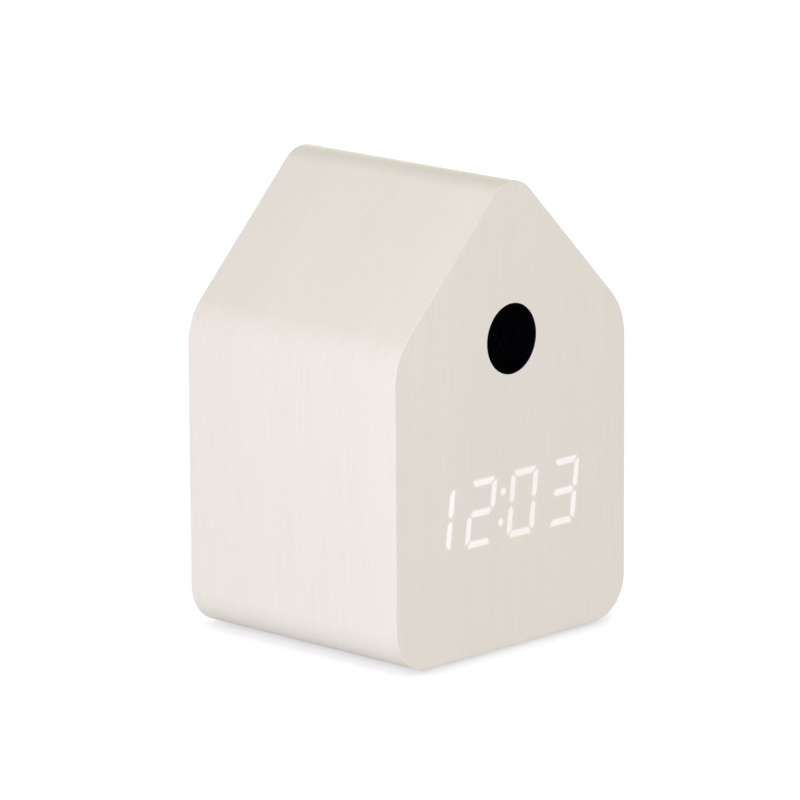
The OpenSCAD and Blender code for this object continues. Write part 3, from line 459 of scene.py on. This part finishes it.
# shape, and whether it is mirrored left to right and top to bottom, for segments a to g
SEGMENTS = ((TOP, 1, 1), (RIGHT, 1, 1), (RIGHT, 1, -1), (TOP, 1, -1), (RIGHT, -1, -1), (RIGHT, -1, 1),
            (MIDDLE, 1, 1))
LIT = ((1, 2), (0, 1, 6, 4, 3), (0, 1, 2, 3, 4, 5), (0, 1, 6, 2, 3))
DARK = ((), (2, 5), (6,), (4, 5))
print("segments lit:", sum(map(len, LIT)), "dark:", sum(map(len, DARK)))


# %% Segment faces
def segment_faces(bm, which):
    """Adds the chosen segments of all four digits at the front plane. Returns the faces."""
    faces = []
    for middle, chosen in zip(digit_mid, which):
        for k in chosen:
            shape, flip_x, flip_z = SEGMENTS[k]
            face = bm.faces.new([bm.verts.new((x, 0, z)) for x, z in shape])
            place = Matrix.Translation((middle, FRONT_Y, DIGITS_Z))
            flip = Matrix.Diagonal((flip_x, 1, flip_z, 1))
            bmesh.ops.transform(bm, matrix=place @ slant @ flip, verts=face.verts)
            faces.append(face)
    return faces


def circle_loop(bm, radius, x, y, z, segments, filled=False):
    """A circle facing the front. Returns its edges."""
    place = Matrix.Translation((x, y, z)) @ Matrix.Rotation(pi / 2, 4, "X")
    made = bmesh.ops.create_circle(bm, cap_ends=filled, segments=segments, radius=radius, matrix=place)
    return list(dict.fromkeys(e for vert in made["verts"] for e in vert.link_edges))


def colon_loops(bm, filled=False):
    """The two dots between the hours and the minutes. Returns each one's edges."""
    dots = [slant @ Vector((0, 0, side * COLON_UP)) for side in (-1, 1)]
    return [circle_loop(bm, COLON_R, colon_x + d.x, FRONT_Y, DIGITS_Z + d.z, 32, filled)
            for d in dots]


def lit_faces(bm):
    """Adds all that glows: the lit segments and the colon's dots. Returns the faces."""
    there = set(bm.faces)
    segment_faces(bm, LIT)
    colon_loops(bm, filled=True)
    return [f for f in bm.faces if f not in there]


print("colon at x, mm:", round(colon_x / MM, 2))

# %% [markdown]
# ## Front sheet
# One sheet of veneer covers the whole front. Its rim is sanded to a soft edge of a seventh of a
# millimetre, and the sound hole and the windows are cut through it. A face with holes is awkward to
# extrude and bevel, so the rim and the cuts are drawn as loops first, and the flat between them is
# filled last.

# %% Front sheet
SOFT_EDGE, HALO_W = 0.15 * MM, 0.26 * MM
HOLE_Z, HOLE_R, HOLE_EDGE = 94.4 * MM, 10.7 * MM, 0.15 * MM


def walls_back(bm, edges, depth):
    """Pulls a wall backwards from edges. Returns the edges at its far end."""
    out = bmesh.ops.extrude_edge_only(bm, edges=edges)["geom"]
    moved = {g for g in out if isinstance(g, bmesh.types.BMVert)}
    bmesh.ops.translate(bm, verts=list(moved), vec=(0, depth, 0))
    return [g for g in out if isinstance(g, bmesh.types.BMEdge) and set(g.verts) <= moved]


bm = bmesh.new()
rim = [house_loop(bm, inset, y) for inset, y in [(0, SHEET_Y), *rounded(FRONT_Y, 1, SOFT_EDGE)]]
bridge(bm, rim)
mouth = [circle_loop(bm, HOLE_R + HOLE_EDGE - inset, 0, y, HOLE_Z, 96)
         for inset, y in [(HOLE_EDGE, SHEET_Y)]
         + [(HOLE_EDGE - i, y) for i, y in rounded(FRONT_Y, 1, HOLE_EDGE, 3)]]
bridge(bm, mouth)
lit, dark = lit_faces(bm), segment_faces(bm, DARK)
halos = bmesh.ops.inset_individual(bm, faces=lit, thickness=-HALO_W, use_even_offset=True)["faces"]
borders = [e for face in lit + dark for e in face.edges]
windows = [e for face in halos for e in face.edges if e.is_boundary]
halo_layer = bm.verts.layers.float.new("halo")
for vert in {v for e in windows for v in e.verts}:
    vert[halo_layer] = 1
windows += [e for face in dark for e in face.edges]
bmesh.ops.delete(bm, geom=lit + dark, context="FACES_ONLY")
window_backs = walls_back(bm, windows, SHEET_Y - FRONT_Y)
fill_flat(bm, rim[-1] + mouth[-1] + borders)
fill_flat(bm, rim[0] + mouth[0] + window_backs)
sprayed_layer = bm.verts.layers.float.new("sprayed")
for vert in {v for loop in mouth[:2] for e in loop for v in e.verts}:
    vert[sprayed_layer] = 1
make_piece("front_sheet", bm, front_wood, "case", ["front_veneer"])

# %% [markdown]
# ## Veneer round the case
# A second strip of veneer runs round the tube and folds over the rear rim. It is a closed band: outer
# face, soft rear edge, rim, and the inner face that is glued to the fibreboard. Each loop's inset is
# stored as the fold, so that the fibres run on round the rim.

# %% Case wrap
REAR_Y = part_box("veneer_wrap")[1].y
VENEER_T, RIM_W = 0.6 * MM, 3 * MM
bm = bmesh.new()
steps = [(0, SHEET_Y), *rounded(REAR_Y, -1, SOFT_EDGE), (RIM_W - SOFT_EDGE, REAR_Y),
         (RIM_W, REAR_Y - SOFT_EDGE), (RIM_W, REAR_Y - VENEER_T), (VENEER_T, REAR_Y - VENEER_T),
         (VENEER_T, SHEET_Y)]
band = [house_loop(bm, inset, y, BOARD_EAVE_R if inset > SOFT_EDGE else EAVE_R)
        for inset, y in steps]
fold_layer = bm.verts.layers.float.new("fold")
for loop, (inset, y) in zip(band, steps):
    for vert in {v for e in loop for v in e.verts}:
        vert[fold_layer] = inset
bridge(bm, band + band[:1])
make_piece("case_wrap", bm, wrap_wood, "case", ["veneer_wrap"])

# %% [markdown]
# ## Lit and dark segments
# Behind each lit window sits a lamp chip, so the plastic is brightest in the middle of the segment. An
# inset face and a vertex attribute carry that fall-off into the glow. The lamps of one digit share a
# current, so a digit with few lit segments glows brighter: the 1 stands out, and the 0 is the dimmest.
# The dark segments take the wood's own finish: it reads object coordinates, so the grain runs across
# them.

# %% Lit segments
GLOW_LEVEL, GLOW_EDGE, CURRENT_SAG = 0.57, 0.3 * MM, 0.09
lit_finish, shader, place = new_finish("lit_segment")
core = mark(place, "glow")
light = paint(place, core, (0.72, 0.655, 0.62), (1.0, 0.925, 0.87))
feed(shader, Base_Color=paint(place, core, (0.45, 0.43, 0.41), (0.46, 0.45, 0.44)),
     Emission_Color=light, Emission_Strength=GLOW_LEVEL, Roughness=0.35)


def brightness(x):
    """Glow of a segment at x, where a digit with two lit segments glows by 1."""
    digit = min(range(4), key=lambda i: abs(x - digit_mid[i]))
    return 1 - CURRENT_SAG * (len(LIT[digit]) - 2)


SEGMENT_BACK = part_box("lit_segments")[1].y
bm = bmesh.new()
for face in lit_faces(bm):
    face.normal_update()
    if face.normal.y > 0:
        face.normal_flip()
bmesh.ops.solidify(bm, geom=list(bm.faces), thickness=SEGMENT_BACK - FRONT_Y)
glow_layer = bm.verts.layers.float.new("glow")
faces = [f for f in bm.faces if f.normal.y < -0.9 and f.calc_center_median().y < FRONT_Y + 10 * NEAR]
bmesh.ops.inset_individual(bm, faces=faces, thickness=GLOW_EDGE, use_even_offset=True)
for face in faces:
    for vert in face.verts:
        vert[glow_layer] = brightness(face.calc_center_median().x)
make_piece("lit_digits", bm, lit_finish, "case", ["lit_segments"])
nodes["dark_segments"].material_slots[0].material = front_wood

# %% [markdown]
# ## Moulded plastics
# The rear cover, the keys and most of the hidden works are injection moulded. The moulds are
# spark-eroded, which leaves a fine even texture, and larger faces show faint flow marks. Handling dulls
# some places more than others. An image of such a texture would do, but three noises do it at any
# distance: one at a third of a millimetre for the relief, a broad one for tone, and one for the gloss.

# %% Moulded plastics
def tinted(colour, factor):
    """A colour made lighter or darker."""
    return tuple(channel * factor for channel in colour)


def even_noise(place, cells, detail=2.0):
    """Noise with one scale on all axes, in cells per metre."""
    return stretched_noise(place, (cells, cells, cells), detail)


def moulded(name, colour, roughness, depth):
    """Plastic with a mould texture of the given depth in micrometres."""
    finish, shader, place = new_finish(name)
    texture, flow = even_noise(place, 3000), even_noise(place, 40)
    handled = even_noise(place, 170, 4)
    tone = paint(place, flow.between(0.35, 0.65), tinted(colour, 0.985), tinted(colour, 1.01))
    feed(shader, Base_Color=tone, Roughness=roughness - 0.06 + handled * 0.12,
         Normal=bump(place, texture, 0.3, depth * 1e-6))
    return finish


PLASTICS = {  # slot: colour, roughness, depth of the mould texture
    "cover_plastic": ((0.75, 0.71, 0.65), 0.46, 30),
    "button_plastic": ((0.62, 0.58, 0.52), 0.36, 10),
    "black_plastic": ((0.012, 0.012, 0.014), 0.50, 30),
    "cream_plastic": ((0.78, 0.74, 0.62), 0.40, 15),
    "chip_black": ((0.015, 0.015, 0.016), 0.55, 24),
    "pad_rubber": ((0.05, 0.05, 0.05), 0.80, 40),
    "magnet": ((0.06, 0.06, 0.065), 0.34, 12),
    "lead_red": ((0.45, 0.03, 0.02), 0.30, 6),
    "lead_black": ((0.02, 0.02, 0.02), 0.30, 6),
}
finishes = {slot: moulded(slot, *values) for slot, values in PLASTICS.items()}
print("moulded finishes:", len(finishes))

# %% [markdown]
# ## The dark of the sound hole
# Behind the hole everything is sprayed dull black, so that the eye finds nothing there. Such paint hardly
# shines: its highlight is turned down on the shader, and a fine grit breaks up what is left.

# %% Dull black
dull_black, shader, place = new_finish("grille_black")
grit, cloud = even_noise(place, 4200), even_noise(place, 300)
tone = paint(place, cloud.between(0.3, 0.7), (0.0006, 0.0006, 0.0016), (0.0012, 0.0012, 0.0026))
feed(shader, Base_Color=tone, Roughness=0.84 + grit * 0.12, Specular_IOR_Level=0.01,
     Normal=bump(place, grit, 0.4, 4e-5))
finishes["grille_black"] = dull_black
print("dull black made")

# %% [markdown]
# ## Metals
# Screws, springs and contacts are zinc plated or tinned. Plating is never quite even, and handling leaves
# hairline scratches, so the roughness follows one stretched noise and the tone another.

# %% Metals
def plated(name, colour, roughness):
    """Plated metal of a mean roughness."""
    finish, shader, place = new_finish(name)
    scratches, patches = stretched_noise(place, (1800, 90, 500), 3), even_noise(place, 350)
    tone = paint(place, patches.between(0.3, 0.7), tinted(colour, 0.88), tinted(colour, 1.04))
    feed(shader, Base_Color=tone, Metallic=1.0, Roughness=roughness - 0.09 + scratches * 0.18,
         Normal=bump(place, scratches, 0.2, 8e-6))
    return finish


finishes["screw_steel"] = plated("screw_steel", (0.58, 0.58, 0.60), 0.30)
finishes["plated_steel"] = plated("plated_steel", (0.55, 0.55, 0.57), 0.38)
finishes["tinned_metal"] = plated("tinned_metal", (0.70, 0.69, 0.66), 0.26)
print("metal finishes made")

# %% [markdown]
# ## Raw board and pine
# Inside the rear rim the bare fibreboard shows as a thin brown edge: pressed wood fibre, speckled and
# slightly fuzzy. The screw blocks are pine offcuts with broad growth rings along the block.

# %% Raw wood
fibreboard, shader, place = new_finish("fibreboard")
fibre, speck = stretched_noise(place, (1400, 500, 900), 4), even_noise(place, 2600, 1)
tone = paint(place, fibre.between(0.3, 0.7), (0.36, 0.225, 0.105), (0.52, 0.345, 0.18))
tone = paint(place, speck.between(0.62, 0.72) * 0.5, tone, (0.22, 0.125, 0.055))
feed(shader, Base_Color=tone, Roughness=0.82 + fibre * 0.12,
     Normal=bump(place, fibre, 0.5, 1e-4))
finishes["fibreboard"] = fibreboard

pine, shader, place = new_finish("pine")
rings = stretched_noise(place, (500, 18, 300), 1)
fibre = stretched_noise(place, (2200, 60, 2200), 2)
tone = paint(place, rings.between(0.38, 0.62), (0.50, 0.31, 0.13), (0.68, 0.49, 0.27))
tone = paint(place, fibre.between(0.55, 0.75) * 0.4, tone, (0.44, 0.26, 0.11))
feed(shader, Base_Color=tone, Roughness=0.70 + fibre * 0.15,
     Normal=bump(place, fibre, 0.4, 6e-5))
finishes["pine"] = pine
print("raw wood finishes made")

# %% [markdown]
# ## The works' own finishes
# Circuit boards show copper tracks under green lacquer, the flat cable shows its cores as ribs, the foam
# ring its cells, and the loudspeaker's cone its pressed rings. Each is one regular pattern: a folded
# coordinate gives stripes or rings of any pitch, and noise decides where a track runs. On the cable and
# the cone the same pattern also paints shade: darker in the grooves and lighter on the crests.

# %% Circuit boards
TRACK_PITCH, TRACK_HALF = 1.27 * MM, 0.2 * MM


def axis(place, number):
    """One of a place's three coordinates."""
    return place.node("ShaderNodeSeparateXYZ", None, {0: place}, output=number)


def folded(value, pitch):
    """Goes from 0 to half the pitch and back, again and again."""
    return value.math("PINGPONG", value, pitch / 2)


board, shader, place = new_finish("circuit_board")
runs = even_noise(place, 95, 1).between(0.49, 0.51)
level_track = (folded(axis(place, 2), TRACK_PITCH) < TRACK_HALF) * runs
upright_track = (folded(axis(place, 0), TRACK_PITCH) < TRACK_HALF) * (1 - runs)
track = place.math("MAXIMUM", level_track, upright_track)
feed(shader, Base_Color=paint(place, track, (0.010, 0.090, 0.030), (0.035, 0.190, 0.065)),
     Roughness=0.34 + even_noise(place, 600) * 0.1,
     Normal=bump(place, track, 0.5, 3e-5))
finishes["circuit_board"] = board
print("circuit boards: a track every", TRACK_PITCH / MM, "mm")

# %% Flat cable and foam
CORE_PITCH, FOAM_CELLS = 1.02 * MM, 2600
ribbon, shader, place = new_finish("ribbon_grey")
core = folded(axis(place, 0), CORE_PITCH) / (CORE_PITCH / 2)
# painted shade: darker in the grooves between the cores, lighter on their crests
feed(shader, Base_Color=paint(place, core, (0.22, 0.22, 0.235), (0.38, 0.38, 0.40)),
     Roughness=0.40 + even_noise(place, 900) * 0.1,
     Normal=bump(place, core, 0.8, 1.5e-4))
finishes["ribbon_grey"] = ribbon

foam, shader, place = new_finish("foam")
cell = place.node("ShaderNodeTexVoronoi", None, {"Vector": place, "Scale": FOAM_CELLS},
                  output="Distance")
feed(shader, Base_Color=paint(place, cell, (0.045, 0.045, 0.046), (0.016, 0.016, 0.017)),
     Roughness=0.85 + cell * 0.1,
     Normal=bump(place, cell, 0.8, 2e-4))
finishes["foam"] = foam
print("flat cable: a core every", CORE_PITCH / MM, "mm")

# %% Loudspeaker cone
RING_PITCH = 0.9 * MM
cone, shader, place = new_finish("cone_film")
centred = place.node("ShaderNodeMapping", None,
                     {"Vector": place, "Location": (0, 0, -HOLE_Z), "Scale": (1, 0, 1)})
from_axis = place.node("ShaderNodeVectorMath", {"operation": "LENGTH"}, {0: centred}, output="Value")
ring = folded(from_axis, RING_PITCH) / (RING_PITCH / 2)
# painted shade: darker in each ring's groove, lighter on its crest
feed(shader, Base_Color=paint(place, ring, (0.004, 0.004, 0.006), (0.009, 0.009, 0.012)),
     Roughness=0.50 + even_noise(place, 500) * 0.14, Specular_IOR_Level=0.1,
     Normal=bump(place, ring, 0.4, 8e-5))
finishes["cone_film"] = cone
print("cone: a ring every", RING_PITCH / MM, "mm")

# %% Lamp chips and capacitor
phosphor, shader, place = new_finish("led_chip")
grains = even_noise(place, 6000, 1)
feed(shader, Base_Color=paint(place, grains, (0.80, 0.66, 0.16), (0.92, 0.84, 0.40)),
     Roughness=0.18 + grains * 0.2, Coat_Weight=0.6)
finishes["led_chip"] = phosphor

can_low, can_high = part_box("filter_capacitor")
can_x = (can_low.x + can_high.x) / 2
BARE_END, STRIPE_HALF, STRIPE_H = (0.15 * MM, 0.25 * MM), 0.9 * MM, 1.2 * MM
sleeve, shader, place = new_finish("capacitor_sleeve")
bare = 1 - axis(place, 1).between(*(can_low.y + depth for depth in BARE_END))
beside_stripe = abs(axis(place, 0) - can_x)
stripe = (beside_stripe < STRIPE_HALF) * (axis(place, 2) > can_high.z - STRIPE_H)
wrap_tone = paint(place, stripe, (0.020, 0.025, 0.080), (0.55, 0.56, 0.58))
feed(shader, Base_Color=paint(place, bare, wrap_tone, (0.72, 0.72, 0.73)), Metallic=bare,
     Roughness=0.24 + even_noise(place, 800) * 0.14)
finishes["capacitor_sleeve"] = sleeve
print("finishes in all:", len(finishes))

# %% [markdown]
# ## Every solid gets its finish
# The record says which material each solid is made of. The finish goes into the material slot that the
# solid already has, so nothing of its shape is touched.

# %% Finishes on solids
for part in frame["record"]["subparts"]:
    if part["material_slot"] in finishes:
        nodes[part["node"]].material_slots[0].material = finishes[part["material_slot"]]
nodes["sound_liner"].material_slots[0].material = dull_black
print("still plain:", [p["node"] for p in frame["record"]["subparts"]
                       if p["material_slot"] not in finishes])

# %% [markdown]
# ## Rear cover, battery door and feet
# No moulded edge is perfectly sharp: each catches a thin line of light. These solids have the right
# shape, so a copy of the mesh is merged, its flats are joined again, and only the edges that show get a
# small round. A Bevel modifier would also round the hidden edges, where thin walls leave no room for it.
# The fine grooves of the door's grip are left sharp too.

# %% Softened solids
COVER_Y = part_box("rear_cover")[1].y
GROOVE_HALF, GROOVE_LOW, GROOVE_HIGH = 4.1 * MM, 40.65 * MM, 47.15 * MM
AT_FACE = 0.05 * MM


def softened(name, node, width, shows, body, slot):
    """Copies a solid and rounds the sharp edges whose middle is where shows says."""
    bm = bmesh.new()
    bm.from_mesh(nodes[node].data)
    bmesh.ops.remove_doubles(bm, verts=bm.verts, dist=NEAR)
    bmesh.ops.dissolve_limit(bm, angle_limit=radians(0.6), verts=bm.verts, edges=bm.edges)
    sharp = [e for e in bm.edges
             if e.calc_face_angle(0) > radians(40) and shows((e.verts[0].co + e.verts[1].co) / 2)]
    bmesh.ops.bevel(bm, geom=sharp, offset=width, offset_type="OFFSET", affect="EDGES", segments=3,
                    profile=0.5, material=-1, clamp_overlap=False)
    piece = make_piece(name, bm, finishes[slot], body, [node], crease=38)
    piece.modifiers.new("flat_faces", "WEIGHTED_NORMAL").keep_sharp = True
    return piece


def on_cover(p):
    return p.y > COVER_Y - AT_FACE


def in_groove(p):
    return abs(p.x) < GROOVE_HALF and GROOVE_LOW < p.z < GROOVE_HIGH


softened("cover_shell", "rear_cover", 0.35 * MM, on_cover, "case", "cover_plastic")
softened("door_panel", "battery_door", 0.25 * MM, lambda p: on_cover(p) and not in_groove(p),
         "door", "cover_plastic")
softened("rubber_feet", "foot_pads", 0.15 * MM, lambda p: p.z < AT_FACE, "case", "pad_rubber")

# %% [markdown]
# ## Cover screws
# Five pan-head screws with a cross recess. A pan head is turned, so circles along its profile are bridged
# into the shank and the domed head. The cross is drawn as a loop of twelve points on the flat top, the
# flat is filled round it, and the loop is pulled down into the head.

# %% Cover screws
HEAD_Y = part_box("cover_screws")[1].y
SHANK_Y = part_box("cover_screws")[0].y
HEAD_SHAPE = ((1.3, 0), (2.4, 0), (2.4, 0.55), (2.31, 0.85), (2.1, 1.1), (1.8, 1.3))
SCREW_PROFILE = ((0.4, SHANK_Y / MM), (1.3, SHANK_Y / MM + 2.2),
                 *((r, COVER_Y / MM + up) for r, up in HEAD_SHAPE), (1.55, HEAD_Y / MM))
ARM, HALF_ARM, RECESS = 1.3 * MM, 0.28 * MM, 0.8 * MM
CROSS = ((HALF_ARM, ARM), (HALF_ARM, HALF_ARM), (ARM, HALF_ARM))
SCREWS = ((-39.5, 19.5), (39.5, 19.5), (-39.5, 74.42), (39.5, 74.42), (0, 121))
bm = bmesh.new()
for x, z in SCREWS:
    turned = [circle_loop(bm, r * MM, x * MM, y * MM, z * MM, 40) for r, y in SCREW_PROFILE]
    bridge(bm, turned)
    bmesh.ops.edgeloop_fill(bm, edges=turned[0])
    quarter = [Vector((a, 0, b)) for a, b in CROSS]
    points = [Matrix.Rotation(pi / 2 * k, 3, "Y") @ p for k in range(4) for p in quarter]
    corners = [bm.verts.new(p + Vector((x * MM, HEAD_Y, z * MM))) for p in points]
    cross = [bm.edges.new((corners[k - 1], corners[k])) for k in range(len(corners))]
    fill_flat(bm, turned[-1] + cross)
    bmesh.ops.edgeloop_fill(bm, edges=walls_back(bm, cross, -RECESS))
make_piece("cross_screws", bm, finishes["screw_steel"], "case", ["cover_screws"])

# %% [markdown]
# ## Keys
# Three round keys look out of the cover. Each is turned: a flange that keeps it in, a shaft, a rounded
# rim and a shallow dish for the fingertip. The profile is a chain of edges, spun once round the key's own
# axis, and the rim is rounded with a bevel afterwards.

# %% Keys
KEY_X = {"mode_key": -21 * MM, "up_key": -7 * MM, "down_key": 7 * MM}
KEY_Z, KEY_R, KEY_ROUND = 72 * MM, 3.5 * MM, 0.4 * MM
KEY_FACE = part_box("mode_button")[1].y
KEY_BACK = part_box("mode_button")[0].y
FLANGE_R, FLANGE_T = 4.6 * MM, 1 * MM
DISH = ((KEY_R - 0.9 * MM, 0.02 * MM), (KEY_R * 0.5, 0.22 * MM), (KEY_R * 0.22, 0.29 * MM),
        (0, 0.3 * MM))
KEY_PROFILE = [(0, KEY_BACK), (FLANGE_R, KEY_BACK), (FLANGE_R, KEY_BACK + FLANGE_T),
               (KEY_R, KEY_BACK + FLANGE_T), (KEY_R, KEY_FACE),
               *((radius, KEY_FACE - sunk) for radius, sunk in DISH)]


def lathe(bm, profile, centre, spin_axis, across, steps):
    """Spins (radius, along) pairs once round an axis through centre. Returns the new vertices."""
    there = set(bm.verts)
    spin_axis, across = Vector(spin_axis), Vector(across)
    verts = [bm.verts.new(Vector(centre) + spin_axis * along + across * radius)
             for radius, along in profile]
    edges = [bm.edges.new(pair) for pair in zip(verts, verts[1:])]
    bmesh.ops.spin(bm, geom=verts + edges, cent=centre, axis=spin_axis, angle=2 * pi, steps=steps,
                   use_merge=True)
    bmesh.ops.remove_doubles(bm, verts=[v for v in bm.verts if v not in there], dist=SAME)
    return [v for v in bm.verts if v not in there]


for body, x in KEY_X.items():
    node = body.replace("key", "button")
    bm = bmesh.new()
    lathe(bm, KEY_PROFILE, (x, 0, KEY_Z), (0, 1, 0), (1, 0, 0), 56)
    rim = [e for e in bm.edges if all(abs(v.co.y - KEY_FACE) < NEAR for v in e.verts)]
    bmesh.ops.bevel(bm, geom=rim, offset=KEY_ROUND, offset_type="OFFSET", affect="EDGES", segments=4,
                    profile=0.5, material=-1, clamp_overlap=True)
    make_piece(body + "_cap", bm, finishes["button_plastic"], body, [node], crease=40)

# %% [markdown]
# ## Key marks
# Plain signs under the keys say what they do without words: a ring for the mode, an upward and a
# downward triangle for setting. They are thick dark ink, so each is a flat shape a little proud of the
# cover.

# %% Key marks
MARK_Z, MARK_R, RING_HOLE = 65.2 * MM, 1.5 * MM, 0.825 * MM
MARK_PROUD, MARK_SUNK = 0.15 * MM, 0.1 * MM
MARK_Y = COVER_Y + MARK_PROUD
bm = bmesh.new()
for key, facing in (("up_key", 0), ("down_key", pi)):
    place = Matrix.Translation((KEY_X[key], MARK_Y, MARK_Z)) @ Matrix.Rotation(facing, 4, "Y")
    bmesh.ops.create_circle(bm, cap_ends=True, segments=3, radius=MARK_R,
                            matrix=place @ Matrix.Rotation(pi / 2, 4, "X"))
rings = [circle_loop(bm, r, KEY_X["mode_key"], MARK_Y, MARK_Z, 32) for r in (MARK_R, RING_HOLE)]
bridge(bm, rings)
for face in bm.faces:
    face.normal_update()
    if face.normal.y < 0:
        face.normal_flip()
bmesh.ops.solidify(bm, geom=list(bm.faces), thickness=MARK_PROUD + MARK_SUNK)
make_piece("key_marks", bm, finishes["black_plastic"], "case", [])

# %% [markdown]
# ## Battery cells
# Three small cells lie under the door. A cell is turned too: a flat base with a crimped ring, a sleeve
# with rounded ends, a shoulder and the tip. Every point stores how far along the cell it lies, and the
# finish reads that: bare metal at both ends, a plain two-tone sleeve between, and no print.

# %% Cell sleeve
SLEEVE_FROM, SLEEVE_TO, BAND_AT, BAND_HALF = 0.32, 43.34, 34.5, 0.35  # mm from the base
cell_finish, shader, place = new_finish("cell_sleeve")
along = mark(place, "along")
metal = place.math("MAXIMUM", along < SLEEVE_FROM, along > SLEEVE_TO)
sleeve_tone = paint(place, along > BAND_AT, (0.045, 0.150, 0.110), (0.50, 0.51, 0.50))
sleeve_tone = paint(place, abs(along - BAND_AT) < BAND_HALF, sleeve_tone, (0.82, 0.80, 0.74))
scuffs = stretched_noise(place, (120, 1500, 1500), 3)
sleeve_tone = paint(place, scuffs.between(0.62, 0.74) * 0.25, sleeve_tone, (0.60, 0.62, 0.60))
feed(shader, Base_Color=paint(place, metal, sleeve_tone, (0.70, 0.69, 0.66)), Metallic=metal,
     Roughness=0.22 + scuffs * 0.16)
print("sleeve from", SLEEVE_FROM, "to", SLEEVE_TO, "mm")

# %% Battery cells
CELL_PROFILE = ((0, 0), (3.3, 0), (3.6, 0.22), (4.35, 0.22), (4.5, 0.3), (4.6, 0.12), (4.95, 0.12),
                (5.12, 0.25), (5.18, 0.5), (5.18, 43.0), (5.1, 43.25), (4.9, 43.4), (4.3, 43.4),
                (4.2, 43.3), (2.2, 43.3), (1.9, 43.45), (1.88, 44.2), (1.75, 44.42), (1.45, 44.5),
                (0, 44.5))
CELL_L, CELL_Y, END_X = 44.5 * MM, 31.35 * MM, 25 * MM
LOW_CELL, MID_CELL, TOP_CELL = 18.85, 30.55, 42.25
CELLS = ((1, LOW_CELL * MM), (-1, MID_CELL * MM), (1, TOP_CELL * MM))  # side of the tip, height
bm = bmesh.new()
along_layer = bm.verts.layers.float.new("along")
for side, z in CELLS:
    start = side * (END_X - CELL_L)
    profile = [(r * MM, a * MM) for r, a in CELL_PROFILE]
    for vert in lathe(bm, profile, (start, CELL_Y, z), (side, 0, 0), (0, 0, 1), 56):
        vert[along_layer] = side * (vert.co.x - start) / MM
make_piece("cells", bm, cell_finish, "case", ["battery_cells"])

# %% [markdown]
# ## Springs and leads
# Each cell presses on a cone-shaped wire spring, and two pairs of insulated leads run from the battery
# box and the loudspeaker to the main board. A wire is one curve with a round section. The curve is made a
# mesh at once, because then its place stays in its points like that of every other piece.

# %% Wire helper
def wire(name, paths, radius, slot, node):
    """Round wire along each path of points."""
    curve = bpy.data.curves.new(name, "CURVE")
    curve.dimensions, curve.bevel_depth, curve.bevel_resolution = "3D", radius, 3
    curve.use_fill_caps = True
    for path in paths:
        spline = curve.splines.new("POLY")
        spline.points.add(len(path) - 1)
        for point, spot in zip(spline.points, path):
            point.co = (*spot, 1)
    holder = bpy.data.objects.new(name, curve)
    mesh = bpy.data.meshes.new_from_object(holder)
    bm = bmesh.new()
    bm.from_mesh(mesh)
    bpy.data.objects.remove(holder)
    bpy.data.meshes.remove(mesh)
    bpy.data.curves.remove(curve)
    return make_piece(name, bm, finishes[slot], "case", [node], crease=60)


print("wire helper ready")

# %% Springs
WIRE_R, COILS, WIDE_R, NARROW_R, SPRING_L = 0.25 * MM, 4, 3.9 * MM, 2.6 * MM, 5.5 * MM


def spring_path(side, z, steps=28):
    """From the contact plate to the cell, in ever smaller turns."""
    foot = Vector((-side * END_X, CELL_Y, z))
    path = [foot + Vector((0, WIDE_R, 0))]
    for k in range(COILS * steps + 1):
        part, angle = k / (COILS * steps), 2 * pi * k / steps
        radius = WIDE_R + (NARROW_R - WIDE_R) * part
        height = 2 * WIRE_R + (SPRING_L - 4 * WIRE_R) * part
        path.append(foot + Vector((side * height, radius * cos(angle), radius * sin(angle))))
    return path + [foot + Vector((side * SPRING_L, NARROW_R, 0))]


wire("coil_springs", [spring_path(side, z) for side, z in CELLS], WIRE_R, "tinned_metal",
     "battery_springs")

# %% Leads
LEAD_R, STRAIGHT = 0.65 * MM, 0.12
# depths and heights in mm: board, battery tabs and loudspeaker basket
BOARD_Y, TAB_Y, BASKET_Y = 30.4, 21.7, -28.9
TAB_X, BASKET_Z, BOX_LEADS_Z, SOUND_LEADS_Z = 25.2, 83.9, 60, 67


def lead_path(start, end, reach_start, reach_end, steps=36):
    """Leaves one end and meets the other along the depth of the clock, in one easy curve."""
    start, end = Vector(start) * MM, Vector(end) * MM
    out, back = Vector((0, reach_start, 0)) * MM, Vector((0, reach_end, 0)) * MM
    first, last = start + out * STRAIGHT, end + back * STRAIGHT
    path = [start]
    for k in range(steps + 1):
        u = k / steps
        path.append(first * (1 - u) ** 3 + (start + out) * (3 * u * (1 - u) ** 2)
                    + (end + back) * (3 * u * u * (1 - u)) + last * u ** 3)
    return path + [end]


wire("box_leads", [lead_path((-TAB_X, TAB_Y, LOW_CELL), (-14, BOARD_Y, BOX_LEADS_Z), -9, -18),
                   lead_path((TAB_X, TAB_Y, TOP_CELL), (20, BOARD_Y, BOX_LEADS_Z), -9, -18)],
     LEAD_R, "lead_black", "battery_leads")
wire("sound_leads", [lead_path((2 * s, BASKET_Y, BASKET_Z), (23.5 + 1.6 * s, BOARD_Y, SOUND_LEADS_Z),
                               22, -26) for s in (-1, 1)], LEAD_R, "lead_red", "speaker_leads")
